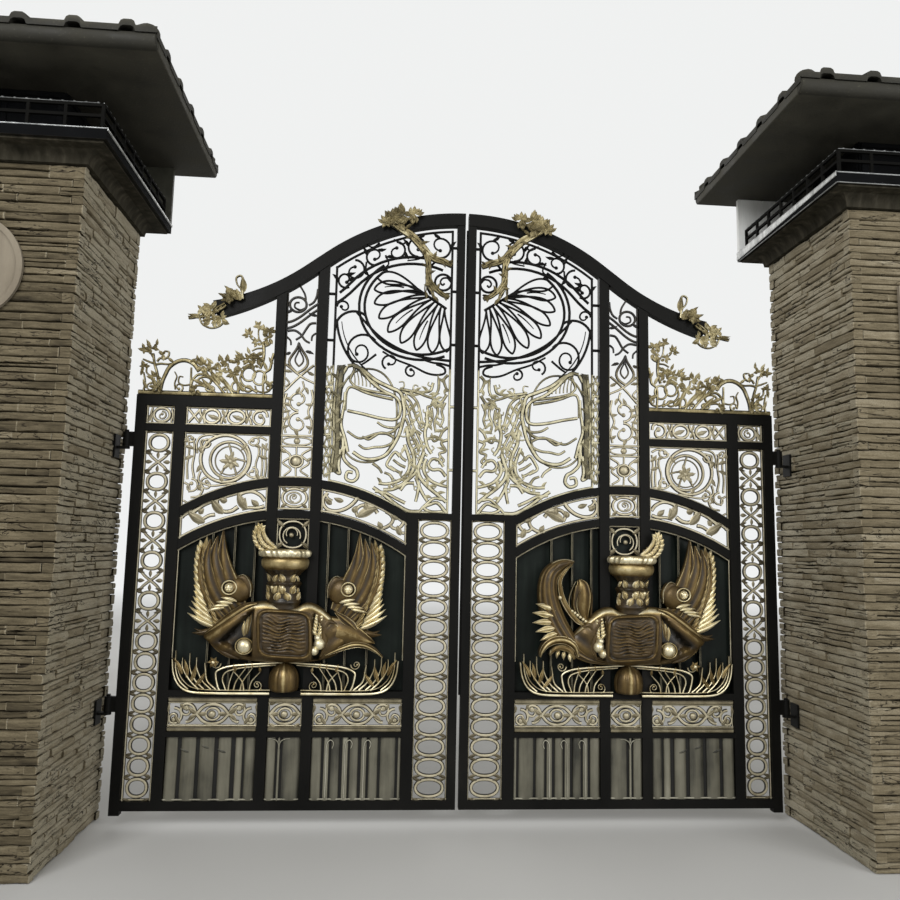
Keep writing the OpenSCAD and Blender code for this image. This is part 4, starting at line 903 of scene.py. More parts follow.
def arch_band():
    """Between the two arch rails, broad leaning leaves and open loops inside a double line; the gold line
    under the lower rail, the two small square frames over the middle, and the thin gold edges of the
    ribs behind the crest."""
    shape = Shape()
    mid = (UPPER_ARCH + LOWER_ARCH) / 2
    for b in (0, 2):
        xs = BAYS[b]
        for crown, r, w in (
            (UPPER_ARCH, ARCH_R - 33, 16), (LOWER_ARCH, ARCH_R + 33, 16), (LOWER_ARCH, ARCH_R - 30, 12)
        ):
            x = np.linspace(*xs, 24)
            rod(shape, np.stack([x, arch_z(crown, x, r)], -1), w, 16)
        for x in (xs[0] + 7, xs[1] - 7):
            bar(shape, (x, arch_z(LOWER_ARCH, x) + 24), (x, arch_z(UPPER_ARCH, x) - 24), 14)
        edge = xs[0] + 5 if b == 0 else xs[1] - 5
        bar(shape, (edge, 950), (edge, arch_z(LOWER_ARCH, edge) - 30), 10, steps=6)
    loops = (
        (28, (640, 1930), (672, 1888), (718, 1854), (772, 1838), (822, 1846), (850, 1876), (852, 1916),
         (828, 1950)),
        (19, (800, 1900), (826, 1916), (842, 1950)),
        (26, (520, 1740), (478, 1742), (440, 1764), (424, 1796), (440, 1824), (470, 1842)),
        (24, (352, 1790), (376, 1752), (414, 1740), (440, 1758)),
        (21, (352, 1712), (384, 1718), (408, 1740)),
        (26, (520, 1832), (548, 1866), (590, 1880), (630, 1872), (652, 1842), (640, 1806)),
        (26, (1205, 1890), (1232, 1922), (1280, 1944), (1330, 1938), (1372, 1912)),
        (24, (1208, 1858), (1250, 1846), (1300, 1846), (1340, 1836)),
        (28, (1366, 1850), (1404, 1824), (1450, 1820), (1484, 1846), (1492, 1886)),
        (26, (1524, 1880), (1570, 1856), (1620, 1816), (1650, 1786)),
        (24, (1500, 1800), (1536, 1792), (1570, 1770), (1600, 1742)),
        (22, (1640, 1830), (1668, 1806), (1694, 1776)),
    )
    rods(shape, loops, 19, taper=0.8)
    for root, a, long, wide in (
        ((640, 1806), 158, 140, 46), ((580, 1836), 80, 66, 30), ((662, 1830), 110, 46, 34),
        ((488, 1740), 60, 50, 28), ((1312, 1838), 62, 116, 44), ((1330, 1846), 100, 62, 30),
        ((1448, 1808), 50, 116, 42), ((1430, 1884), 20, 50, 34), ((1556, 1752), 34, 122, 44),
        ((1590, 1800), 130, 44, 28), ((1240, 1860), 40, 60, 30), ((800, 1880), 40, 56, 26),
        ((372, 1700), 70, 66, 30), ((392, 1800), 30, 50, 26), ((730, 1900), 20, 64, 26)
    ):
        leaf(shape, root, a, long, 1.25 * wide, 26, LEAF_Y - 8, 16, lobes=0, rub=1.15)
    m = ARCH_X
    frame_lines(shape, BAYS[1], (1839, 1988), 15)
    ring(shape, link((m, mid), 74, 54, 2.1, 32), 18, 17)
    ring(shape, oval((m + 4, mid), 44, 34), 11, 15)
    scroll(shape, (m + 4, mid - 2), 24, -90, 3, 1, 10, 14)
    for a in (38, 142, 218, 322):
        leaf(shape, np.array((m, mid)) + ray(98, a), a + 180, 46, 26, 0)
    frame_lines(shape, BAYS[1], (1590, 1790), 11)
    ring(shape, link((m, 1690), 80, 80, 2.2, 32), 15, 16)
    for lift, r, w in ((0, 52, 11), (14, 34, 9)):
        rod(shape, arc((m + 6, 1690 + lift - 8), r, 200, -30 if lift else -60), w, 14)
    boss(shape, (m + 8, 1686), 15, 12, LEAF_Y, 12, 4)
    for a in (40, 140, 220, 320):
        leaf(shape, np.array((m, 1690)) + ray(128, a), a + 180, 60, 28, 0)
    for x in (560, 690, 810, 1246, 1366, 1496):
        for s in (-1, 1):
            top = arch_z(LOWER_ARCH, x) - 36
            bar(shape, (x + s * 4, 772), (x + s * 4, top), 3, 4, STILE_FRONT, 8, 0.8)
    both_leaves("arch_tendrils", shape, PATINA, ["arch_scrolls"])


FAN_C = np.array([285.0, 3145.0])
FAN_ROOTS = np.array([[296.0, 3258.0], [134.0, 3150.0]])
SWEEP_C, SWEEP_R = np.array([330.0, 2950.0]), 505.0
SWEEP_C2, SWEEP_R2 = SWEEP_C + ray(SWEEP_R + 600.0, 40), 600.0


def sweep(r):
    """A line of the band that sweeps over the fan, r outside its middle: an arc, and then one that
    bends the other way."""
    return np.concatenate([arc(SWEEP_C, SWEEP_R + r, 112, 40)[:-1], arc(SWEEP_C2, SWEEP_R2 - r, 220, 268)])


def crown_z(x, r):
    """Height at x of a curve r below the middle of the camelback rail's convex part."""
    return CROWN_TOP - CROWN_R + np.sqrt((CROWN_R - r) ** 2 - x**2)


def ties(shape, left, right):
    """Short bars that tie the grille to the stiles, at heights on its left and on its right side."""
    for xs, heights in (((62, 90), left), ((826, 867), right)):
        for z in heights:
            bar(shape, (xs[0], z), (xs[1], z), 18, 12)


def fan_grille():
    """Black fan in the crown of the leaf: curved hollow petals side by side from a slanting root, a line in
    three of them, a double loop round them, the double sweeping band, and C-scrolls in the space left."""
    shape = Shape()
    inner = (88, 826)
    for x in (91, 824):
        bar(shape, (x, 2750), (x, crown_z(x, 66)), 15, steps=8)
    x = np.linspace(*GRILLE, 30)
    rod(shape, np.stack([x, crown_z(x, 72)], -1), 15, 14)
    for r in (-22, 22):
        rod(shape, within(sweep(r), (90, 826), (2750, 3700)), 17, 16)
    for r in (0, 34):
        line = FAN_C + arc((0, 0), 1, -128, 52, 0.002) * (392 - r, 340 - r)
        rod(shape, within(line, inner, (2700, 3700)), 17, 16)
    petals = 9
    for i in range(petals):
        s = i / (petals - 1)
        a = 36 - 124 * s
        long = 286 + 72 * math.sin(math.pi * s)
        bend = -42 + 30 * s
        root = (1 - s) * FAN_ROOTS[0] + s * FAN_ROOTS[1]
        ring(shape, petal(root, a, long, 84 - 14 * s, bend, 48, 2.1, 0.7), 13, 15)
        if i in (1, 4, 6):
            turns = np.radians(a + bend * np.linspace(0.2, 0.9, 12))
            steps = np.cumsum(np.stack([np.cos(turns), np.sin(turns)], -1), 0) * long * 0.036
            rod(shape, root + ray(long * 0.36, a + bend * 0.18) + steps, 10, 12, taper=0.5)
    bar(shape, FAN_ROOTS[0] + (12, 8), FAN_ROOTS[1] + (-12, -6), 17, steps=5)
    rod(shape, arc((90, 3330), 165, -35, 50), 14, 15)
    ring(shape, oval((146, 3318), 53, 53), 15, 15)
    bent(shape, ((120, 3350), (150, 3345), (165, 3320), (150, 3300), (138, 3312)), 12, 12, 13)
    bent(shape, ((94, 3318), (112, 3340), (122, 3350)), 5, 10, 12)
    for x, z, r, a, turn in (
        (170, 3545, 66, -90, -1), (312, 3544, 63, -90, 1), (450, 3520, 54, 90, 1), (588, 3463, 52, -90, 1),
        (712, 3380, 60, 90, 1), (766, 3300, 46, -120, 1)
    ):
        path = scroll(shape, (x, z), r, a, 2, turn, 15, 15)
        for k in (5, 10):
            leaf(shape, path[k], direction(path, k) - 50 * turn, 62, 26, -40 * turn, rub=0.6)
    for ends in (
        ((250, 3520), (300, 3470), (380, 3452)), ((520, 3480), (500, 3420), (560, 3380)),
        ((640, 3430), (650, 3370), (700, 3330)), ((560, 3560), (600, 3530), (640, 3540)),
        ((386, 3580), (420, 3560), (470, 3590))
    ):
        bent(shape, ends, 10, 13, 14, taper=0.6)
    rod(shape, arc((705, 2985), 118, -5, 127), 16, 15)
    rod(shape, within(arc((330, 3080), 485, -80, -4), (80, 826), (2750, 3300)), 16, 15)
    rod(shape, arc((330, 3080), 455, -52, -6), 11, 12, taper=0.5)
    scroll(shape, (642, 2858), 96, 141, 3, -1, 15, 15)
    for knots, w in (
        (((92, 2806), (170, 2812), (280, 2826), (400, 2864), (520, 2930), (610, 3010), (690, 3096)), 17),
        (((92, 2772), (150, 2786), (200, 2790), (260, 2806)), 15),
        (((180, 2782), (130, 2760), (124, 2726), (170, 2712), (240, 2722), (330, 2764), (430, 2800),
          (520, 2850)),
         15),
        (((560, 2830), (620, 2780), (650, 2760)), 14)
    ):
        bent(shape, knots, 30, w, 15, taper=0.8)
    for c, r, a, turn in (((474, 2780), 46, -60, 1), ((338, 2732), 34, 90, -1), ((780, 3130), 36, 0, 1)):
        scroll(shape, c, r, a, 2, turn, 14, 14)
    ties(shape, (2910, 3260, 3550), (2910, 3210))
    # The fan takes the black iron paint: painted shade, for the dark that its scrolls show against the
    # bright sky.
    both_leaves("fan_grille", shape, IRON, ["fan_panel"])


def vine_panel():
    """Tangled vine that climbs from the transom: thick double stems that wind out of two feet, bundles
    of thinner ones that fan out above them, tendrils and small leaves between; beside it an oval
    cartouche with a box and swags across it and a thick stem along its outer side."""
    shape = Shape()
    rng = np.random.default_rng(7)
    x = np.linspace(*GRILLE, 24)
    rod(shape, np.stack([x, np.maximum(1844, arch_z(UPPER_ARCH, x) + 30)], -1), 15, 14)
    for x in (91, 824):
        bar(shape, (x, max(1838, arch_z(UPPER_ARCH, x) + 24)), (x, 2750), 14, steps=8)
    ties(shape, (2110, 2510), (2310, 2610))
    stems = (
        (20, (700, 2748), (640, 2726), (560, 2664), (466, 2620), (402, 2590), (382, 2530), (372, 2460),
         (384, 2392), (412, 2300), (474, 2200), (548, 2166), (620, 2168), (684, 2206)),
        (17, (735, 2748), (676, 2748), (588, 2656), (514, 2600), (430, 2560), (400, 2510), (404, 2440),
         (442, 2416), (530, 2424), (628, 2446), (727, 2464)),
        (20, (800, 2200), (752, 2214), (748, 2280), (784, 2350), (790, 2440), (792, 2560), (778, 2660),
         (738, 2744)),
        (16, (716, 2206), (736, 2290), (762, 2380), (748, 2500), (744, 2580)),
        (18, (735, 2240), (740, 2170), (700, 2122), (660, 2096), (650, 2052), (680, 2024), (720, 2040),
         (712, 2080), (680, 2078)),
        (17, (760, 2220), (768, 2120), (760, 2070), (800, 2090)),
        (19, (352, 2358), (342, 2282), (316, 2220), (302, 2156), (314, 2094), (352, 2030), (424, 1984),
         (490, 1976)),
        (17, (366, 2262), (342, 2200), (330, 2146), (342, 2088), (392, 2036), (462, 2014), (520, 2016)),
        (20, (244, 2218), (260, 2166), (278, 2114), (264, 2060), (220, 2008), (155, 1956), (98, 1910)),
        (17, (228, 2176), (244, 2126), (232, 2080), (196, 2040), (146, 2018), (96, 2006)),
        (18, (232, 2472), (228, 2400), (240, 2350), (236, 2300), (222, 2250), (196, 2210)),
        (16, (266, 2150), (288, 2096), (322, 2056), (372, 2016), (424, 1990)),
        (17, (290, 2060), (262, 1990), (238, 1946), (216, 1914)),
        (16, (270, 2030), (276, 1966), (288, 1908)),
        (16, (300, 2024), (350, 2018), (384, 1976)),
        (17, (96, 1842), (150, 1902), (196, 1894), (236, 1872), (192, 1848), (120, 1850)),
        (15, (126, 1926), (176, 1930), (232, 1884), (262, 1850)),
        (20, (262, 1846), (330, 1848), (404, 1886), (486, 1946), (552, 1990)),
        (16, (352, 1898), (412, 1926), (470, 1956), (540, 1966)),
        (16, (104, 2070), (140, 2110), (190, 2110), (214, 2140), (190, 2176), (150, 2170), (120, 2130)),
        (15, (392, 2186), (424, 2212), (462, 2160), (470, 2126), (420, 2096)),
    )
    for width, *knots in stems:
        bent(shape, knots, 10 * len(knots) // 3 + 6, 1.4 * width, 20, LEAF_Y - 3, taper=0.85)
    tendrils = (
        ((404, 2614), (344, 2604), (294, 2596), (246, 2576), (196, 2560), (146, 2536)),
        ((390, 2598), (334, 2576), (294, 2534), (274, 2472), (260, 2410), (240, 2366)),
        ((378, 2570), (338, 2534), (314, 2482), (294, 2430), (266, 2376)),
        ((372, 2534), (348, 2482), (334, 2430), (314, 2378), (284, 2324), (256, 2262), (240, 2210),
         (220, 2196)),
        ((364, 2430), (344, 2388), (324, 2324), (294, 2262), (268, 2220)),
        ((396, 2400), (430, 2352), (474, 2330), (540, 2326), (610, 2300), (660, 2296), (724, 2336)),
        ((430, 2304), (474, 2326), (522, 2330), (560, 2306), (592, 2288), (630, 2304)),
        ((384, 2390), (404, 2326), (440, 2272), (494, 2246), (552, 2240), (610, 2230), (650, 2252)),
        ((380, 2430), (394, 2388), (434, 2366), (494, 2372), (540, 2398)),
        ((444, 2546), (552, 2566), (630, 2588), (706, 2616), (736, 2582), (740, 2466)),
        ((470, 2576), (610, 2598), (700, 2626)),
        ((538, 2604), (552, 2640), (630, 2692), (680, 2740), (706, 2692), (716, 2656), (690, 2624)),
        ((104, 2714), (128, 2682), (118, 2640), (100, 2608)),
        ((160, 2692), (162, 2620), (186, 2570)),
        ((196, 2660), (212, 2610), (264, 2598), (330, 2606)),
        ((108, 2588), (146, 2536), (186, 2556), (206, 2514), (228, 2504), (216, 2462)),
        ((118, 2536), (138, 2482), (128, 2430), (146, 2378)),
        ((176, 2536), (162, 2472), (182, 2410), (172, 2346)),
        ((204, 2500), (196, 2440), (208, 2390)),
        ((98, 2300), (136, 2280), (108, 2230), (148, 2210), (118, 2168), (152, 2150)),
        ((98, 2380), (130, 2350), (150, 2310), (184, 2290), (200, 2330)),
        ((300, 2300), (282, 2262), (306, 2236), (290, 2200)),
        ((264, 2330), (300, 2350), (320, 2320)),
        ((430, 2040), (452, 2070), (486, 2084)),
        ((352, 2160), (380, 2180), (396, 2210)),
        ((356, 2120), (392, 2136), (434, 2166)),
        ((376, 2080), (410, 2096), (452, 2124)),
        ((560, 2140), (520, 2110), (500, 2080)),
    )
    for k, knots in enumerate(tendrils):
        bent(shape, knots, 8 * len(knots) // 2 + 6, 20, 16, LEAF_Y + 2 * (k % 2), taper=0.75, rub=0.84)
    for k in range(6):
        foot = np.array((566.0 + 24 * k, 2616.0 + 3 * k))
        bent(shape, (foot, foot + (2, 22 + 5 * k), foot + (14, 40 + 13 * k)), 6, 9, 12, taper=0.7, rub=0.8)
    for x, w, tone in ((782, 40, 0.55), (804, 20, 0.8)):
        spine = curve((x + 10, 2076), (x - 2, 2250), (x + 6, 2450), (x - 2, 2600), (x - 14, 2748), count=24)
        rod(shape, spine, w, 26, LEAF_Y - 6, rub=tone)
    z = np.linspace(2044, 2744, 90)
    for s in (-1, 1):
        rod(shape, np.stack([847 + 14 * s * np.sin(z / 27), z], -1), 11, 14, LEAF_Y + 2 * s, rub=0.95)
    for k in range(12):
        side = 1 if k % 2 else -1
        leaf(
            shape, (847 - 6 * side, 2060 + 57 * k), 90 - side * 70, 44, 24, 40 * side, LEAF_Y - 12, rub=1.25
        )
        leaf(shape, (790, 2096 + 56 * k), 90 + side * 50, 60, 26, 30 * side, LEAF_Y - 20, rub=0.95)
    ring(shape, link((604, 2440), 186, 296, 2.25, 48), 13, 13, LEAF_Y + 3, rub=0.7)
    hosts = [curve(*knots, count=24) for _, *knots in stems[6:13]]
    hosts += [curve(*knots, count=18) for knots in tendrils[:5] + tendrils[12:21]]
    for host in hosts:
        steps = np.cumsum(np.linalg.norm(np.diff(host, axis=0), axis=1))
        total = int(steps[-1] / 44)
        for j in range(total):
            k = int(np.searchsorted(steps, (j + rng.uniform(0.2, 0.8)) / total * steps[-1]))
            k = min(k, len(host) - 2)
            a = direction(host, k)
            s = 1 if (j + int(rng.integers(0, 2))) % 2 else -1
            r = rng.uniform(18, 30)
            tip = host[k] + ray(2 * r, a + 90 * s)
            in_field = 98 < tip[0] < 560 and max(1862, arch_z(UPPER_ARCH, tip[0]) + 40) < tip[1] < 2730
            if not in_field or np.hypot((tip[0] - 604) / 200, (tip[1] - 2440) / 300) <= 1.04:
                continue
            if rng.random() < 0.55:
                hook = [ray(far * r, a + out * s) for far, out in ((0, 0), (1, 40), (1.7, 75), (1.5, 110))]
                bent(shape, host[k] + hook, 9, 12, 14, taper=0.6)
            else:
                leaf(
                    shape, host[k] - ray(3, a), a + 44 * s, rng.uniform(46, 66), rng.uniform(20, 28),
                    -38 * s, curl=6, rub=1.25
                )
    both_leaves("vine_scrollwork", shape, VINE, ["vine_panel"])


def side_strip():
    """Tall narrow grille between the stiles a and b: a ring with a hook, the crossing end of the sweeping
    band, two chevrons, a pointed loop and a cross of rods; below, an S-chain of volutes between upright
    strands, two crossbars with an oval between them, and zigzag rods round a ring."""
    shape = Shape()
    xs, m = BAYS[1], ARCH_X
    foot = UPPER_ARCH + 24

    def top(x):
        """Underside of the camelback rail at x, a straight line there."""
        slope = math.radians(37)
        start = (CROWN_R * math.sin(slope), CROWN_TOP - CROWN_R + CROWN_R * math.cos(slope))
        return start[1] - (x - start[0]) * math.tan(slope) - 50

    for x in (xs[0] + 5.5, xs[1] - 5.5):
        bar(shape, (x, foot - 4), (x, top(x)), 11, steps=12)
    x = np.linspace(*xs, 8)
    rod(shape, np.stack([x, arch_z(UPPER_ARCH, x) + 29], -1), 11, 14)
    for r in (-19, 19):
        knots = np.array([(929, 3124), (975, 3090), (1040, 3034), (1088, 3004), (1128, 2992)])
        bent(shape, knots + (0, r), 12, 16, 15)
    ring(shape, oval((1058, 3130), 52, 48), 16, 16)
    table = (
        (13, (1014, 3108), (1044, 3096), (1078, 3112), (1074, 3140), (1050, 3144)),
        (16, (938, 3236), (944, 3190), (962, 3150), (992, 3128)),
        (14, (1012, 3162), (1020, 3200), (1052, 3254)),
        (16, (942, 3016), (978, 3008), (1002, 2974), (1028, 2930), (1064, 2902)),
        (16, (1116, 2958), (1072, 2962), (1036, 2940), (1006, 2902), (976, 2886)),
        (13, (1120, 2920), (1096, 2896), (1092, 2868)),
        (13, (940, 2950), (962, 2930), (966, 2900)),
        (16, (944, 2744), (996, 2700), (1056, 2642), (1118, 2572)),
        (16, (1116, 2744), (1062, 2700), (1004, 2660), (938, 2630)),
        (13, (1118, 2660), (1092, 2626), (1116, 2600)),
        (16, (952, 2588), (942, 2520), (968, 2450), (944, 2380), (956, 2312)),
        (16, (1106, 2560), (1116, 2490), (1090, 2430), (1114, 2370), (1100, 2312)),
        (13, (1010, 2640), (1000, 2600), (1016, 2570), (1010, 2540)),
        (15, (940, 2218), (996, 2176), (950, 2130), (1000, 2084), (952, 2048)),
        (15, (1118, 2218), (1064, 2170), (1108, 2128), (1060, 2088), (1100, 2046)),
        (13, (1030, 2226), (1028, 2172)),
        (13, (1030, 2100), (1026, 2034)),
    )
    rods(shape, table)
    ring(shape, petal((1044, 2886), -96, 196, 116, 14, 30), 17, 16)
    ring(shape, petal((1040, 2850), -96, 116, 52, 10, 22), 11, 13, rub=0.8)
    for z, a, turn in ((2508, -90, 1), (2386, 90, -1)):
        path = scroll(shape, (m, z), 56, a, 2, turn, 17, 16)
        for k in (3, 8):
            leaf(shape, path[k], direction(path, k) - 55 * turn, 50, 26, -40 * turn, rub=1.2)
    for z in (2230, 2296):
        bar(shape, (xs[0], z), (xs[1], z), 14, 15)
    ring(shape, link((m, 2263), 86, 24, 2.4), 11, 14)
    boss(shape, (m, 2263), 21, 12, LEAF_Y, 12, 4)
    ring(shape, oval((m, 2138), 40, 36), 15, 16)
    boss(shape, (m, 2138), 32, 16, LEAF_Y, 14, 5)
    for root, a, long in (
        ((936, 3060), 20, 60), ((1122, 3070), 150, 50), ((1000, 2830), 200, 58), ((1090, 2820), -20, 40),
        ((940, 2680), 30, 54), ((1122, 2700), 190, 50), ((940, 2490), 10, 50), ((1120, 2440), 170, 50),
        ((950, 2420), -20, 50), ((1110, 2530), 200, 54), ((1120, 2340), 160, 46), ((940, 2340), 30, 46),
        ((990, 2600), 250, 50), ((936, 2160), 330, 40), ((1122, 2200), 200, 40)
    ):
        leaf(shape, root, a, long, 24, 26, rub=1.2)
    both_leaves("strip_scrollwork", shape, PATINA, ["side_strip"])


def shoulder():
    """Low side part: a thick ring and a smaller one off its centre round an open bud, corner scrolls and
    upright rods; over it a band of bold scrolls, rings and a cross between two lines."""
    shape = Shape()
    xs = BAYS[2]
    x = np.linspace(*xs, 16)
    rod(shape, np.stack([x, arch_z(UPPER_ARCH, x) + 30], -1), 11, 14)
    bar(shape, (xs[0], 2294), (xs[1], 2294), 12)
    for x, edge, above in ((xs[0] + 5.5, xs[0], -6), (xs[1] - 5.5, xs[1], 20)):
        bar(shape, (x, arch_z(UPPER_ARCH, edge) + above), (x, 2300), 11, steps=4)
    outer, inner, bud = np.array([1456.0, 2142.0]), np.array([1432.0, 2134.0]), np.array([1424.0, 2124.0])
    ring(shape, oval(outer, 148, 144, 44), 23, 20)
    ring(shape, oval(inner, 114, 112, 36), 20, 17, rub=0.9)
    ring(shape, oval(inner + (-4, -4), 88, 88, 32), 9, 13, rub=0.75)
    for i in range(7):
        leaf(
            shape, bud + ray(8, 51 * i), 51 * i + 8, 46 if i % 2 else 58, 34, 20, LEAF_Y - 10, 14, 8, 2,
            rub=1.35
        )
    boss(shape, bud, 18, 22, LEAF_Y - 4, 12, 4)
    for knots in (
        ((1424, 2124), (1400, 2090), (1384, 2040)), ((1424, 2124), (1388, 2140), (1330, 2128)),
        ((1424, 2124), (1454, 2090), (1480, 2046)), ((1424, 2124), (1420, 2170), (1440, 2236))
    ):
        bent(shape, knots, 7, 13, 14, rub=0.8)
    table = (
        (15, (1214, 2036), (1210, 2110), (1218, 2180), (1212, 2244)),
        (14, (1236, 2028), (1232, 2110), (1240, 2180), (1236, 2236)),
        (14, (1262, 2230), (1256, 2180), (1272, 2110), (1262, 2024)),
        (15, (1636, 2020), (1650, 2090), (1642, 2170), (1650, 2250)),
        (14, (1676, 2010), (1682, 2100), (1674, 2180), (1684, 2262)),
        (15, (1500, 2276), (1560, 2286), (1612, 2270), (1632, 2228), (1626, 2170)),
        (14, (1540, 2262), (1590, 2250), (1606, 2206)),
        (15, (1212, 2262), (1250, 2280), (1300, 2270), (1320, 2236)),
        (15, (1220, 2036), (1268, 2028), (1310, 2040), (1336, 2066)),
        (15, (1380, 1996), (1450, 1984), (1530, 1974), (1590, 1990)),
        (15, (1600, 2060), (1610, 2010), (1580, 1960), (1600, 1912), (1650, 1900)),
        (14, (1692, 1990), (1664, 1970), (1660, 1930)),
        (13, (1692, 1880), (1660, 1866), (1640, 1880)),
    )
    rods(shape, table)
    for x, z, r, a, turn in (
        (1290, 2258, 30, 0, -1), (1290, 2062, 32, 90, 1), (1580, 2236, 30, 180, 1), (1650, 1976, 38, 90, 1),
        (1560, 1990, 34, 90, -1), (1668, 2262, 24, 180, 1)
    ):
        path = scroll(shape, (x, z), r, a, 2, turn, 15, 15)
        leaf(shape, path[4], direction(path, 4) - 50 * turn, 46, 24, -30 * turn, rub=1.2)
    for root, a, long in (
        ((xs[0] + 12, 2150), 20, 60), ((xs[0] + 12, 2200), 50, 60), ((xs[1] - 10, 2130), 160, 60),
        ((xs[1] - 10, 2210), 200, 60), ((1600, 2100), 300, 56), ((1330, 2240), -50, 60),
        ((1590, 2170), 60, 50), ((1460, 2000), 60, 46)
    ):
        leaf(shape, root, a, long, 28, 30, rub=1.2)
    z = 2400
    for ends in (xs, CHAIN):
        frame_lines(shape, ends, (2343, 2457), 12)
    scroll(shape, (1258, z), 43, 100, 2, -1, 20, 18)
    bent(shape, ((1216, z + 6), (1222, z + 34), (1250, z + 48), (1290, z + 44)), 10, 18, 18, rub=1.15)
    for x, rx in ((1402, 50), (1550, 47)):
        ring(shape, oval((x, z), rx, 42), 20, 18, rub=1.15)
        leaf(shape, (x - 43, z - 14), 20, 74, 34, 20, LEAF_Y - 8, rub=1.3)
    for a, b in (((1622, z - 40), (1690, z + 40)), ((1622, z + 40), (1690, z - 40))):
        bar(shape, a, b, 17, 17, steps=4)
    for x, s in ((1328, 1), (1476, -1), (1608, 1)):
        bent(
            shape, ((x - 18, z - s * 44), (x - 8, z - s * 10), (x + 10, z + s * 10), (x + 18, z + s * 44)),
            9, 17, 17
        )
        leaf(shape, (x - 14, z + s * 42), -s * 70, 50, 24, 20, rub=1.25)
        leaf(shape, (x + 14, z - s * 42), s * 110, 50, 24, 20, rub=1.25)
    ring(shape, oval((1850, z), 48, 42), 20, 18, rub=1.15)
    scroll(shape, (1850, z), 24, 90, 2, 1, 12, 15)
    for s in (-1, 1):
        leaf(shape, (1850 + s * 76, z - s * 44), 90 + s * 30, 70, 28, 30 * s, rub=1.25)
        bent(shape, ((1850 + s * 56, z + 44), (1850 + s * 66, z), (1850 + s * 56, z - 44)), 7, 14, 16)
    both_leaves("shoulder_scrollwork", shape, PATINA, ["shoulder_panel"])


def gilt_leaf(shape, root, a, long, wide, **more):
    """A leaf of the cresting and sprays: thicker than those in the panels, and curled forward."""
    more = {"bend": 30, "thick": 16, "curl": 14, "lobes": 4} | more
    leaf(shape, root, a, long, wide, **more)


